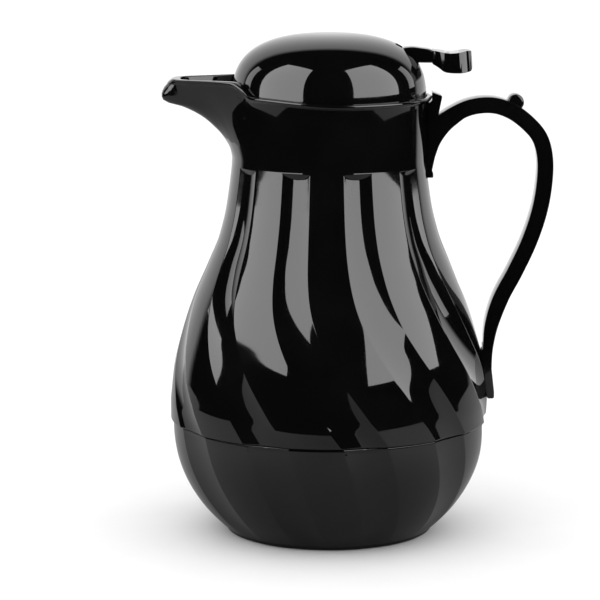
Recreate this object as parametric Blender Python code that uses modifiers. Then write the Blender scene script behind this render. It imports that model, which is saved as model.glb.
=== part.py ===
"""Insulated pour-through beverage server, about two litres.

The body stands on +Z with its origin on the table, under its own axis. The beak points to -X, the
handle and the thumb lever to +X. A bottle-shaped liner hangs in foam inside a swirl-fluted shell and
base cup. The lid plugs the liner; its lever pushes a sprung valve down, so that the drink runs up
past the valve, over the liner's flange and out along the beak.
"""

from math import cos, exp, log, pi, radians, sin

import bmesh
import bpy
from mathutils import Matrix, Vector

MM = 0.001

# Clearances
GAP = 0.35 * MM            # between pieces that touch
STEM_PLAY = 0.4 * MM       # round the sliding stem
PIN_PLAY = 0.08 * MM       # round the lever's pin

# Body
FOOT_RADIUS = 60 * MM
BELLY_RADIUS = 94.3 * MM
BELLY_HEIGHT = 80 * MM
SEAM_HEIGHT = 68 * MM
SEAM_STEP = 1.6 * MM       # how far the shell overhangs the base cup
NECK_RADIUS = 58 * MM
RIM_HEIGHT = 262 * MM
NECK_LENGTH = 52 * MM      # from the rim down to the shoulder
RIM_BEAD = 2.2 * MM
RIM_FALL = 6 * MM          # over which the bead fades into the neck
SHELL_WALL = 2.4 * MM
BASE_WALL = 2.6 * MM
LEDGE_DEPTH = 3.2 * MM     # from the rim down to the ledge that the dome stands on
LIP_HEIGHT = 6 * MM        # of the base cup's lip inside the shell
LIP_WALL = 2 * MM
SHOULDER_HEIGHT = RIM_HEIGHT - NECK_LENGTH

# Flutes
FLUTES = 10
FLUTE_DEPTH = 1.6 * MM
BASE_FLUTE_DEPTH = 0.9 * MM
FLUTE_PHASE = 30           # degrees, middle of the first rib, from -Y towards +X
FLUTE_TOP = SHOULDER_HEIGHT + 11 * MM
FLUTE_FADE = 7 * MM
SWIRL_START = BELLY_HEIGHT + 62 * MM
SWIRL_EASE = 14 * MM
SWIRL_RATE = 460           # degrees per metre, above the seam
BASE_SWIRL_RATE = 190      # degrees per metre, below it

# Beak
BEAK_DIRECTION = -90       # degrees, from -Y towards +X
BEAK_REACH = 41.5 * MM     # past the neck
BEAK_DEPTH = 36 * MM       # from the rim down to where its keel leaves the neck
BEAK_RISE = 10 * MM        # of its lip above the rim
BEAK_WALL = 2.2 * MM
BEAK_ROOT = RIM_HEIGHT - BEAK_DEPTH

# Liner and foam
INSULATION = 25.3 * MM     # from the belly to the liner, both walls included
CHANNEL_WIDTH = 10 * MM    # between the liner's neck and the shell's
LINER_WALL = 1.6 * MM
LINER_FLOOR = 24 * MM
LINER_FLANGE = 2 * MM
POUR_DEPTH = 31 * MM       # from the rim down to the liner's mouth
FOAM_DROP = 7 * MM         # from the liner's mouth down to the foam
SEAL_HEIGHT = 3 * MM
SEAL_WIDTH = 4 * MM
LINER_RADIUS = BELLY_RADIUS - INSULATION
LINER_NECK = NECK_RADIUS - SHELL_WALL - CHANNEL_WIDTH   # bore
LINER_MOUTH = RIM_HEIGHT - POUR_DEPTH
FOAM_TOP = LINER_MOUTH - FOAM_DROP

# Underside
EDGE_WIDTH = 4 * MM        # of the base cup's edge round the pad
PAD_THICKNESS = 2.4 * MM
BASE_EDGE = 0.4 * MM       # the cup's edge stands this far off the table
PLUG_RADIUS = 8 * MM
PLUG_FLANGE = 3 * MM
PLUG_HEAD = 1.2 * MM
PAD_RADIUS = FOOT_RADIUS - EDGE_WIDTH
FLOOR_LOW = PAD_THICKNESS + GAP
FLOOR_TOP = FLOOR_LOW + BASE_WALL

# Lid
DOME_INSET = 0.6 * MM      # from the neck's radius to the dome's
DOME_RISE = 36.5 * MM
DOME_POWER = 2.6
DOME_WALL = 2.2 * MM
CAGE_DROP = 5 * MM         # from the rim down to the cage ring
CAGE_THICKNESS = 2.5 * MM
CAGE_INSET = 1 * MM        # from the shell's bore to the cage ring
CAGE_WIDTH = 13.6 * MM
STOPPER_RISE = 4.5 * MM    # of the stopper's plate above the liner's mouth
STOPPER_THICKNESS = 3 * MM
STOPPER_GAP = 1 * MM       # round the stopper's skirt, closed by the gasket
STOPPER_SKIRT = 12 * MM
GROOVE_RISE = 3 * MM       # of the gasket's groove above the skirt's edge
GROOVE_DEPTH = 2.2 * MM
SKIRT_WALL = 2 * MM        # behind the groove
GASKET_HEIGHT = 4 * MM
GASKET_CLEARANCE = 0.3 * MM
POST_RADIUS = 2.6 * MM
POST_ANGLES = (40, 140, 220, 320)   # degrees from +X
LID_SCREW_ANGLES = (90, 210, 330)   # degrees from +X
LID_SCREW_INSET = 5.1 * MM
LID_SCREW_RADIUS = 1.3 * MM
LID_SCREW_DEPTH = 7 * MM
LID_SCREW_HEAD_RADIUS = 2.4 * MM
LID_SCREW_HEAD = 1.4 * MM
BOSS_RADIUS = 3.2 * MM
DOME_RADIUS = NECK_RADIUS - DOME_INSET
CAGE_HEIGHT = RIM_HEIGHT - CAGE_DROP
CAGE_RADIUS = NECK_RADIUS - SHELL_WALL - CAGE_INSET
CAGE_BORE = CAGE_RADIUS - CAGE_WIDTH
LID_SCREW_CIRCLE = CAGE_RADIUS - LID_SCREW_INSET
STOPPER_TOP = LINER_MOUTH + STOPPER_RISE
STOPPER_LOW = STOPPER_TOP - STOPPER_THICKNESS
SKIRT_LOW = STOPPER_LOW - STOPPER_SKIRT
SKIRT_RADIUS = LINER_NECK - STOPPER_GAP
GROOVE_RADIUS = SKIRT_RADIUS - GROOVE_DEPTH
GROOVE_LOW = SKIRT_LOW + GROOVE_RISE

# Valve
PORT_RADIUS = 11 * MM
STEM_RADIUS = 2.5 * MM
STEM_FOOT = 2 * MM         # of the stem below its clip
STEM_NOTCH = 0.9 * MM      # depth of the clip's groove
GUIDE_WALL = 1.8 * MM
GUIDE_HEIGHT = 10.5 * MM   # above the stopper's plate
ARM_WIDTH = 2 * MM
BUTTON_RADIUS = 6.5 * MM
BUTTON_THICKNESS = 4 * MM
BUTTON_CROWN = 1.5 * MM    # of the button over the stem's end
BUTTON_DROP = 30 * MM      # from the dome's crown down to the button
SPRING_WIRE = 0.5 * MM     # radius
SPRING_TURNS = 6
VALVE_LAP = 3 * MM         # of the plug past the port
SEAL_LAP = 2.2 * MM        # of the washer past the port
SEAL_THICKNESS = 1.6 * MM
VALVE_THICKNESS = 3 * MM
CLIP_THICKNESS = 1.4 * MM
CLIP_WIDTH = 2 * MM
CROWN = RIM_HEIGHT + DOME_RISE
BUTTON_TOP = CROWN - BUTTON_DROP
GUIDE_TOP = STOPPER_TOP + GUIDE_HEIGHT

# Lever
PIVOT_INSET = 13.4 * MM    # from the dome's radius to the pin
PIVOT_DROP = 20.5 * MM     # from the dome's crown to the pin
PIN_RADIUS = 1.6 * MM
LEVER_WIDTH = 14 * MM
LEVER_PAD_WIDTH = 22 * MM
LEVER_PAD_ROUND = 17 * MM  # radius of its end, seen from above
LUG_THICKNESS = 3 * MM
LUG_REACH = 3.8 * MM       # of a lug before and behind the pin
LUG_CROWN = 2.8 * MM       # of a lug above the pin's axis
NIB_RADIUS = 1.5 * MM
NIB_WIDTH = 6 * MM
SLOT_SIDE = 1 * MM         # clearance beside the lever in the dome's slot
SLOT_DEPTH = 18.4 * MM     # in from the dome's radius
SLOT_RISE = 5 * MM         # of the slot's lower end above the rim
PIVOT = Vector((PIVOT_INSET - DOME_RADIUS, 0, CROWN - PIVOT_DROP))

# Handle
HANDLE_WIDTH = 15 * MM
HANDLE_THICKNESS = 9 * MM
HANDLE_ROUND = 2.6 * MM
ROOT_SWELL = 3.5 * MM      # on each side of the grip, where it leaves the bracket
FOOT_TAPER = 2.2 * MM      # off each side, at its foot
BRACKET_THICKNESS = 2.8 * MM
BRACKET_LIP = 0.8 * MM
HEEL = 4.2 * MM            # width of the foot's lower edge
NUB_RADIUS = 4.9 * MM
SCREW_RADIUS = 1.4 * MM
SCREW_HEAD_RADIUS = 3 * MM
SCREW_HEAD = 1.8 * MM
SCREW_REACH = 1.8 * MM     # into the handle
UPPER_SCREW_HEIGHT = RIM_HEIGHT - 44 * MM
LOWER_SCREW_HEIGHT = BELLY_HEIGHT + 20 * MM

AROUND = 50                # sides of the fluted shells
LARGE_STEPS = 30
SMALL_STEPS = 20


def make_collection(name):
    made = bpy.data.collections.new(name)
    bpy.context.scene.collection.children.link(made)
    return made


for old in list(bpy.data.objects):
    bpy.data.objects.remove(old)
PARTS = make_collection("beverage_server")
CUTTERS = make_collection("cutters")


# ---------------------------------------------------------------- small tools

def interpolate(pairs, x):
    """Value at x of a smooth curve that passes through the pairs without overshooting."""
    if x <= pairs[0][0]:
        return pairs[0][1]
    if x >= pairs[-1][0]:
        return pairs[-1][1]
    slopes = [(b[1] - a[1]) / (b[0] - a[0]) for a, b in zip(pairs, pairs[1:])]
    inner = [0 if s * t <= 0 else 2 * s * t / (s + t) for s, t in zip(slopes, slopes[1:])]
    tangents = [slopes[0]] + inner + [slopes[-1]]
    for i, (a, b) in enumerate(zip(pairs, pairs[1:])):
        if x <= b[0]:
            width = b[0] - a[0]
            t = (x - a[0]) / width
            return (a[1] * (1 + 2 * t) * (1 - t) ** 2 + b[1] * t * t * (3 - 2 * t)
                    + width * t * (1 - t) * (tangents[i] * (1 - t) - tangents[i + 1] * t))


def smoothstep(low, high, x):
    t = min(1, max(0, (x - low) / (high - low)))
    return t * t * (3 - 2 * t)


def smooth_path(points, steps):
    """Points on a Catmull-Rom curve through the given ones."""
    padded = [2 * points[0] - points[1]] + points + [2 * points[-1] - points[-2]]
    path = []
    for a, b, c, d in zip(padded, padded[1:], padded[2:], padded[3:]):
        for i in range(steps):
            t = i / steps
            path.append(0.5 * (2 * b + (c - a) * t + (2 * a - 5 * b + 4 * c - d) * t * t
                               + (3 * b - a - 3 * c + d) * t ** 3))
    return path + [points[-1]]


def polar(radius, angle, z):
    """A point at an angle in degrees from -Y towards +X."""
    return Vector((radius * sin(radians(angle)), -radius * cos(radians(angle)), z))


def material(name, color, roughness, metallic=0.0):
    made = bpy.data.materials.new(name)
    made.use_nodes = True
    shader = made.node_tree.nodes["Principled BSDF"]
    shader.inputs["Base Color"].default_value = (*color, 1)
    shader.inputs["Roughness"].default_value = roughness
    shader.inputs["Metallic"].default_value = metallic
    return made


def add_object(name, mesh, paint=None, at=(0, 0, 0), parent=None, collection=None):
    made = bpy.data.objects.new(name, mesh)
    (collection or PARTS).objects.link(made)
    made.location = at
    if parent:
        made.parent = parent
        made.matrix_parent_inverse = Matrix.Translation(-parent.location)
    if paint:
        mesh.materials.append(material(name, *paint))
    return made


def mesh_from(name, build):
    """A mesh that the build function fills, shaded smooth except at sharp edges."""
    form = bmesh.new()
    build(form)
    mesh = bpy.data.meshes.new(name)
    form.to_mesh(mesh)
    form.free()
    mesh.shade_smooth()
    mesh.set_sharp_from_angle(angle=radians(32))
    return mesh


def turned(name, profile, paint, steps=LARGE_STEPS, parent=None, at=(0, 0, 0), axis="Z",
           cutter=False):
    """A solid of revolution. Its (radius, z) profile runs down its outer side, and closes if it is bored."""
    on_axis = profile[0][0] == 0 and profile[-1][0] == 0
    mesh = bpy.data.meshes.new(name)
    edges = [(i, i + 1) for i in range(len(profile) - 1)]
    if not on_axis:
        edges.append((len(profile) - 1, 0))
    mesh.from_pydata([(r, 0, z) for r, z in profile], edges, [])
    made = add_object(name, mesh, paint, at, parent, CUTTERS if cutter else PARTS)
    screw = made.modifiers.new("turn", "SCREW")
    screw.axis = "Z"
    screw.steps = screw.render_steps = steps
    screw.use_merge_vertices = True
    screw.merge_threshold = 0.01 * MM
    if axis == "X":
        made.rotation_euler = (0, pi / 2, 0)
    if cutter:
        hide(made)
    return made


def hide(cutter):
    cutter.hide_render = True
    cutter.display_type = "WIRE"


def rod(name, radius, low, high, paint=None, steps=SMALL_STEPS, **placing):
    """A plain cylinder along Z from low to high."""
    return turned(name, [(0, high), (radius, high), (radius, low), (0, low)], paint, steps, **placing)


def ring(name, inner, outer, low, high, paint, steps=SMALL_STEPS, parent=None):
    """A flat-sided ring along Z from low to high."""
    profile = [(inner, high), (outer, high), (outer, low), (inner, low)]
    return turned(name, profile, paint, steps, parent)


def block(name, low, high):
    """A cutter or helper box between two corners."""
    def build(form):
        bmesh.ops.create_cube(form, size=1)
        size = [b - a for a, b in zip(low, high)]
        middle = [(a + b) / 2 for a, b in zip(low, high)]
        bmesh.ops.transform(form, matrix=Matrix.Translation(middle) @ Matrix.Diagonal((*size, 1)),
                            verts=form.verts)
    made = add_object(name, mesh_from(name, build), collection=CUTTERS)
    hide(made)
    return made


def boolean(target, other, operation):
    modifier = target.modifiers.new(f"{operation.lower()} {other.name}", "BOOLEAN")
    modifier.operation = operation
    modifier.object = other
    modifier.solver = "EXACT"


def loft(name, rings, paint):
    """A bored solid: closed rings of equal length, each joined to the next and the last to the first."""
    def build(form):
        rows = [[form.verts.new(point) for point in row] for row in rings]
        for upper, lower in zip(rows, rows[1:] + rows[:1]):
            for i in range(len(upper)):
                j = (i + 1) % len(upper)
                form.faces.new((upper[i], lower[i], lower[j], upper[j]))
    return add_object(name, mesh_from(name, build), paint)


def outline(name, points, width, bevel):
    """A plate in the XZ plane, its outline given, centred on y = 0, with rounded edges."""
    curve = bpy.data.curves.new(name, "CURVE")
    curve.dimensions = "2D"
    curve.fill_mode = "BOTH"
    curve.extrude = width / 2
    spline = curve.splines.new("POLY")
    spline.points.add(len(points) - 1)
    for made, (x, z) in zip(spline.points, points):
        made.co = (x, z, 0, 1)
    spline.use_cyclic_u = True
    flat = bpy.data.objects.new(name, curve)
    flat.rotation_euler = (pi / 2, 0, 0)
    CUTTERS.objects.link(flat)
    bpy.context.view_layer.update()
    mesh = bpy.data.meshes.new_from_object(flat.evaluated_get(bpy.context.evaluated_depsgraph_get()))
    mesh.transform(flat.matrix_world)
    form = bmesh.new()
    form.from_mesh(mesh)
    bmesh.ops.remove_doubles(form, verts=form.verts, dist=0.01 * MM)
    bmesh.ops.dissolve_limit(form, angle_limit=radians(1), verts=form.verts, edges=form.edges)
    bmesh.ops.recalc_face_normals(form, faces=form.faces)
    if bevel:
        rims = [edge for edge in form.edges if edge.calc_face_angle(0) > radians(60)
                and abs(edge.verts[0].co.y - edge.verts[1].co.y) < 0.01 * MM]
        bmesh.ops.bevel(form, geom=rims, offset=bevel, segments=2, profile=0.5, affect="EDGES",
                        clamp_overlap=True)
    form.to_mesh(mesh)
    form.free()
    mesh.shade_smooth()
    mesh.set_sharp_from_angle(angle=radians(40))
    bpy.data.objects.remove(flat)
    return mesh


# ---------------------------------------------------------------- the body's surface

# Share of the way from neck to belly, against height above the belly as a share of the shoulder's.
SHOULDER = ((0, 1), (0.165, 0.932), (0.32, 0.793), (0.469, 0.624), (0.62, 0.398), (0.768, 0.188),
            (0.915, 0.065), (1.1, 0))
BASE_POWER = 2.35


def shell_radius(z):
    """Mean outer radius of the upper shell."""
    t = (z - BELLY_HEIGHT) / (SHOULDER_HEIGHT - BELLY_HEIGHT)
    return NECK_RADIUS + (BELLY_RADIUS - NECK_RADIUS) * interpolate(SHOULDER, t)


def base_radius(z):
    """Mean outer radius of the base cup."""
    top = BELLY_RADIUS - SEAM_STEP
    return FOOT_RADIUS + (top - FOOT_RADIUS) * (1 - (1 - z / SEAM_HEIGHT) ** BASE_POWER)


def swirl(z):
    """Turn of the flutes at a height, in degrees."""
    at = max(z, SEAM_HEIGHT)
    turn = SWIRL_RATE * SWIRL_EASE * log(1 + exp((SWIRL_START - at) / SWIRL_EASE))
    return FLUTE_PHASE + turn + BASE_SWIRL_RATE * max(0, SEAM_HEIGHT - z)


def flute(angle, z, depth):
    return depth / 2 * cos(FLUTES * radians(angle - swirl(z)))


# How far the beak reaches at the top, as a share, against the angle in degrees from its ridge.
BEAK_PLAN = ((0, 1), (2.4, 0.985), (4, 0.93), (5.5, 0.82), (8.5, 0.58), (13.6, 0.34), (21.8, 0.15), (32, 0))
# The keel: reach as a share, against height above its root as a share of the height to the rim.
BEAK_KEEL = ((0, 0), (0.11, 0.012), (0.22, 0.063), (0.33, 0.125), (0.42, 0.19), (0.52, 0.28),
             (0.62, 0.38), (0.72, 0.52), (0.82, 0.71), (0.91, 0.97), (1, 1), (1.11, 0.97), (1.31, 0.81))


def off_beak(angle):
    """Angle from the beak's ridge, in degrees, always positive."""
    return abs((angle - BEAK_DIRECTION + 180) % 360 - 180)


def beak(angle, z):
    height = (z - BEAK_ROOT) / (RIM_HEIGHT - BEAK_ROOT)
    if height <= 0:
        return 0
    narrowing = 0.62 + 0.38 * smoothstep(0, 0.9, height)
    return BEAK_REACH * interpolate(BEAK_KEEL, height) * interpolate(BEAK_PLAN, off_beak(angle) * narrowing)


def rim_height(angle):
    """The rim rises gently from the handle's side and then in an S up to the beak's lip."""
    away = off_beak(angle)
    gentle = 0.25 * smoothstep(100, 45, away)
    return RIM_HEIGHT + BEAK_RISE * (gentle + (1 - gentle) * smoothstep(36, 20, away))


def rim_flare(z):
    """The rim's outer side leans out to its bead."""
    return RIM_BEAD * smoothstep(RIM_HEIGHT - RIM_FALL, RIM_HEIGHT - RIM_FALL / 6, z)


def outer_point(angle, z):
    fade = smoothstep(FLUTE_TOP, FLUTE_TOP - FLUTE_FADE, z)
    radius = shell_radius(z) + flute(angle, z, FLUTE_DEPTH) * fade
    return polar(radius + max(beak(angle, z), rim_flare(z)), angle, z)


def shell_bore(z):
    """Inner radius of the upper shell below its ledge."""
    relief = FLUTE_DEPTH / 2 * (1 - smoothstep(FLUTE_TOP - 2 * FLUTE_FADE, FLUTE_TOP, z))
    return shell_radius(z) - relief - SHELL_WALL


def bore_point(angle, z, top=0):
    """A point inside the shell; the beak's channel is its outside moved in and up by the wall."""
    if z < BEAK_ROOT:
        return polar(shell_bore(z), angle, z)
    channel = min(beak(angle, z - BEAK_WALL * 1.2), max(0, beak(angle, z) - BEAK_WALL))
    radius = shell_bore(z)
    if top:
        radius = max(radius, NECK_RADIUS)
    return polar(max(radius, NECK_RADIUS - SHELL_WALL + channel), angle, z)


BASE_ANGLES = [BEAK_DIRECTION + 360 * i / AROUND for i in range(AROUND)]
NOSE_ANGLES = [BEAK_DIRECTION + away for away in (1.8, 3.6, 5.4, 10.8, 349.2, 354.6, 356.4, 358.2)]
ANGLES = sorted(BASE_ANGLES + NOSE_ANGLES)


def shoulder_heights(*shares):
    """Heights between the belly and the shoulder."""
    return [BELLY_HEIGHT + share * (SHOULDER_HEIGHT - BELLY_HEIGHT) for share in shares]


BORE_HEIGHTS = shoulder_heights(0.03, 0.2, 0.37, 0.54, 0.71, 0.92) + [FOAM_TOP]


def make_outer_shell(paint):
    low = SEAM_HEIGHT + GAP
    ledge = RIM_HEIGHT - LEDGE_DEPTH
    outer = [[outer_point(a, ledge + share * (rim_height(a) - ledge)) for a in ANGLES]
             for share in (1, 0.7, 0.35, 0)]
    heights = [RIM_HEIGHT - depth * MM for depth in (8, 13, 19, 26, 33)]
    heights += [FLUTE_TOP, FLUTE_TOP - FLUTE_FADE]
    heights += shoulder_heights(0.92, 0.77, 0.62, 0.48, 0.34, 0.2, 0.06)
    outer += [[outer_point(a, z) for a in ANGLES] for z in heights + [low]]
    lip_bore = base_radius(SEAM_HEIGHT) - BASE_WALL + GAP
    inner = [[polar(lip_bore, a, z) for a in ANGLES] for z in (low, low + LIP_HEIGHT + 3 * GAP)]
    channel = [RIM_HEIGHT - depth * MM for depth in (35, 30, 24, 18, 12, 7)]
    inner += [[bore_point(a, z) for a in ANGLES] for z in BORE_HEIGHTS + channel + [ledge]]
    inner += [[bore_point(a, ledge + share * (rim_height(a) - ledge), top=1) for a in ANGLES]
              for share in (0.02, 0.5, 1)]
    shell = loft("outer_shell", outer + inner, paint)
    for height in (UPPER_SCREW_HEIGHT, LOWER_SCREW_HEIGHT):
        hole = rod(f"shell_hole_{height / MM:.0f}", SCREW_RADIUS + GAP, shell_bore(height) - 5 * MM,
                   shell_radius(height) + 4 * MM, axis="X", at=(0, 0, height), cutter=True)
        boolean(shell, hole, "DIFFERENCE")
    return shell


def base_point(angle, z):
    fade = smoothstep(4 * MM, 20 * MM, z)
    return polar(base_radius(z) + flute(angle, z, BASE_FLUTE_DEPTH) * fade, angle, z)


BORE_SHARES = (0.14, 0.26, 0.45, 0.7)   # heights inside the base cup, as shares of the seam's


def base_bore(share):
    """(radius, z) inside the base cup, at a share of the seam's height."""
    z = share * SEAM_HEIGHT
    return base_radius(z) - BASE_WALL - BASE_FLUTE_DEPTH, z


def make_base_cup(paint):
    """A fluted cup with a lip that stands up inside the shell and a recess for the pad below."""
    top = SEAM_HEIGHT
    lip = base_radius(top) - BASE_WALL
    heights = (1, 0.84, 0.68, 0.52, 0.38, 0.26, 0.16, 0.09, 0.04)
    rings = [[base_point(a, BASE_EDGE + share * (top - BASE_EDGE)) for a in BASE_ANGLES]
             for share in heights]
    recess = PAD_RADIUS + GAP
    plain = [(FOOT_RADIUS - 0.6 * MM, BASE_EDGE), (recess, BASE_EDGE), (recess, FLOOR_LOW),
             (PLUG_RADIUS, FLOOR_LOW), (PLUG_RADIUS, FLOOR_TOP), (FOOT_RADIUS - EDGE_WIDTH, FLOOR_TOP)]
    plain += [base_bore(share) for share in BORE_SHARES]
    lip_top = top + LIP_HEIGHT
    plain += [(lip - LIP_WALL, top), (lip - LIP_WALL, lip_top), (lip, lip_top), (lip, top)]
    rings += [[polar(r, a, z) for a in BASE_ANGLES] for r, z in plain]
    return loft("base_cup", rings, paint)


# ---------------------------------------------------------------- what is inside the body

def liner_outline():
    """(radius, z) of the liner's outside, from its neck down to its floor."""
    neck = LINER_NECK + LINER_WALL
    shoulder = ((0, 14), (0.07, 24), (0.32, 38), (0.64, 54), (0.885, 72), (1, 92))
    curved = [(neck + share * (LINER_RADIUS - neck), SHOULDER_HEIGHT - drop * MM)
              for share, drop in shoulder]
    bottom = LINER_FLOOR - LINER_WALL
    foot = ((0, 28), (3, 14), (10, 4), (20, -0.6))
    rounded = [(LINER_RADIUS - step * MM, LINER_FLOOR + rise * MM) for step, rise in foot]
    return [(neck, FOAM_TOP)] + curved + rounded + [(LINER_RADIUS - 28 * MM, bottom)]


def make_inner_liner(paint):
    outside = liner_outline()
    flange = shell_bore(LINER_MOUTH) - GAP
    bore = [(r - LINER_WALL, z) for r, z in reversed(outside[:-2])]
    profile = [(LINER_NECK, LINER_MOUTH), (flange, LINER_MOUTH), (flange, LINER_MOUTH - LINER_FLANGE),
               (LINER_NECK + LINER_WALL, LINER_MOUTH - LINER_FLANGE)] + outside[1:]
    profile += [(0, outside[-1][1]), (0, LINER_FLOOR), (outside[-1][0], LINER_FLOOR),
                (outside[-2][0], LINER_FLOOR + 1 * MM)] + bore[:-1]
    # It runs from the axis up the bore, over the flange and down the outside to the axis again.
    start = profile.index((0, LINER_FLOOR))
    return turned("inner_liner", profile[start:] + profile[:start], paint)


def screw_seat(height):
    """How far out the flat underside of a handle screw's head can lie inside the sloping wall."""
    return shell_bore(height + SCREW_HEAD_RADIUS) - 2 * GAP


def screw_tip(height):
    return shell_radius(height) + FLUTE_DEPTH / 2 + SCREW_REACH


def make_foam_jacket(paint):
    inside = [(r + GAP, z) for r, z in liner_outline()]
    floor = FLOOR_TOP + PLUG_HEAD + 2 * GAP
    outer = [(shell_bore(z) - GAP, z) for z in reversed(BORE_HEIGHTS)]
    lip_bore = base_radius(SEAM_HEIGHT) - BASE_WALL - LIP_WALL - GAP
    outer += [(lip_bore, SEAM_HEIGHT + LIP_HEIGHT + 2 * MM), (lip_bore, SEAM_HEIGHT)]
    outer += [(radius - 2 * GAP, z) for radius, z in map(base_bore, reversed(BORE_SHARES))]
    outer += [(PAD_RADIUS, floor), (0, floor)]
    profile = [(0, inside[-1][1] - 2 * GAP), (inside[-1][0], inside[-1][1] - 2 * GAP)]
    profile += list(reversed(inside[:-1])) + outer
    jacket = turned("foam_jacket", profile, paint)
    for height in (UPPER_SCREW_HEIGHT, LOWER_SCREW_HEIGHT):
        pocket = rod(f"foam_pocket_{height / MM:.0f}", SCREW_HEAD_RADIUS + GAP,
                     screw_seat(height) - SCREW_HEAD - GAP, shell_bore(height) + 5 * MM,
                     axis="X", at=(0, 0, height), cutter=True)
        boolean(jacket, pocket, "DIFFERENCE")
    return jacket


def make_neck_seal(paint):
    """A ring in the corner under the liner's flange."""
    top = LINER_MOUTH - LINER_FLANGE - GAP
    outer = shell_bore(FOAM_TOP) - GAP
    return ring("neck_seal", outer - SEAL_WIDTH, outer, top - SEAL_HEIGHT, top, paint, LARGE_STEPS)


def make_foot_pad(paint):
    profile = [(0, PAD_THICKNESS), (PAD_RADIUS, PAD_THICKNESS), (PAD_RADIUS, 0.5 * MM),
               (PAD_RADIUS - 0.5 * MM, 0), (0, 0)]
    return turned("foot_pad", profile, paint)


def make_fill_plug(paint):
    low = FLOOR_LOW
    top = FLOOR_TOP + GAP
    head = PLUG_RADIUS + PLUG_FLANGE
    shank = PLUG_RADIUS - GAP
    profile = [(0, top + PLUG_HEAD), (head, top + PLUG_HEAD), (head, top), (shank, top), (shank, low),
               (0, low)]
    return turned("fill_plug", profile, paint, SMALL_STEPS)


# ---------------------------------------------------------------- handle

def millimetres(*pairs):
    return [Vector((x * MM, z * MM)) for x, z in pairs]


# Middle line of the grip. The arch is (x, z) from the corner of neck and rim. The rest runs down to the
# foot: x out from the belly, and height as a share of the way from the belly up to the rim.
ARCH = millimetres((6, -18), (15.5, -9.8), (26, -4.4), (38, -3.3), (49, -7), (59, -15))
FALL = ((30.1, 0.863), (33.3, 0.797), (33.1, 0.714), (30.3, 0.621), (24.5, 0.522), (16.3, 0.423),
        (8.3, 0.338), (3, 0.253), (0.9, 0.176), (0.6, 0.099))
NUB = Vector((NECK_RADIUS + 52.3 * MM, RIM_HEIGHT - 3 * MM))


def offset_path(path, distance):
    """The path moved sideways; a positive distance moves it to its left."""
    moved = []
    for i, point in enumerate(path):
        along = (path[min(i + 1, len(path) - 1)] - path[max(i - 1, 0)]).normalized()
        moved.append(point + distance(i / (len(path) - 1)) * Vector((-along.y, along.x)))
    return moved


def make_handle(paint):
    """One moulding: a bracket on the neck, the looped grip with its thumb nub, and a foot on the belly."""
    grip = [point + Vector((NECK_RADIUS, RIM_HEIGHT)) for point in ARCH]
    grip += [Vector((BELLY_RADIUS + out * MM, BELLY_HEIGHT + share * (RIM_HEIGHT - BELLY_HEIGHT)))
             for out, share in FALL]
    path = smooth_path(grip, 2)

    def half(share):
        """Half the grip's thickness: wider at its root, thinner at its foot."""
        root, foot = smoothstep(0.1, 0, share), smoothstep(0.8, 1, share)
        return HANDLE_THICKNESS / 2 + ROOT_SWELL * root - FOOT_TAPER * foot

    outer = offset_path(path, half)
    inner = offset_path(path, lambda share: -half(share))
    face = NECK_RADIUS + RIM_BEAD + GAP
    neck = NECK_RADIUS + FLUTE_DEPTH / 2 + GAP
    foot_low = BELLY_HEIGHT
    low_end = UPPER_SCREW_HEIGHT - 4.5 * MM

    def hug(z):
        return shell_radius(z) + FLUTE_DEPTH / 2 + GAP

    outside = [p for p in outer if p.x > face + 4 * MM]
    back = [p for p in inner if p.x > hug(max(p.y, foot_low)) + 1 * MM and p.x > neck + 8 * MM]
    bracket = [(hug(z), z) for z in (low_end, low_end + 4 * MM, low_end + 9 * MM, low_end + 16 * MM)]
    bracket += [(neck, RIM_HEIGHT - 7 * MM), (face, RIM_HEIGHT - 1 * MM),
               (face, RIM_HEIGHT + 1 * MM), (face + 4.5 * MM, RIM_HEIGHT + 1 * MM),
               (face + 3 * MM, RIM_HEIGHT - 10 * MM)]
    heel = hug(foot_low) + HEEL
    foot = [(heel, foot_low + 4 * MM), (heel, foot_low), (hug(foot_low), foot_low)]
    foot += [(hug(z), z) for z in (foot_low + rise * MM for rise in (8, 16, 24, 30))]
    thin = neck + BRACKET_THICKNESS
    lip = thin + BRACKET_LIP
    root = [(lip, low_end + 17.5 * MM), (thin, low_end + 14 * MM), (thin, low_end + 4 * MM),
            (lip, low_end + 3 * MM), (lip, low_end)]
    points = bracket + [tuple(p) for p in outside] + foot + [tuple(p) for p in reversed(back)] + root
    mesh = outline("handle", points, HANDLE_WIDTH, HANDLE_ROUND)
    handle = add_object("handle", mesh, paint)
    nub = rod("handle_nub", NUB_RADIUS, -HANDLE_WIDTH / 2 + 1 * MM, HANDLE_WIDTH / 2 - 1 * MM, cutter=True,
              at=(NUB.x, 0, NUB.y))
    nub.rotation_euler = (pi / 2, 0, 0)
    boolean(handle, nub, "UNION")
    for height in (UPPER_SCREW_HEIGHT, LOWER_SCREW_HEIGHT):
        hole = rod(f"handle_hole_{height / MM:.0f}", SCREW_RADIUS + GAP / 2, shell_radius(height) - 6 * MM,
                   screw_tip(height) + GAP, axis="X", at=(0, 0, height), cutter=True)
        boolean(handle, hole, "DIFFERENCE")
    return handle


def make_handle_screw(name, height, paint):
    """A screw along +X: its head inside the shell, its shank through the wall into the handle."""
    head = screw_seat(height)
    tip = screw_tip(height)
    profile = [(0, tip), (SCREW_RADIUS, tip), (SCREW_RADIUS, head), (SCREW_HEAD_RADIUS, head),
               (SCREW_HEAD_RADIUS, head - SCREW_HEAD), (0, head - SCREW_HEAD)]
    return turned(name, profile, paint, 16, axis="X", at=(0, 0, height))


# ---------------------------------------------------------------- lid

def dome_height(radius, rise=DOME_RISE, reach=DOME_RADIUS):
    return RIM_HEIGHT + rise * (1 - (radius / reach) ** DOME_POWER) ** (1 / DOME_POWER)


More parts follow.
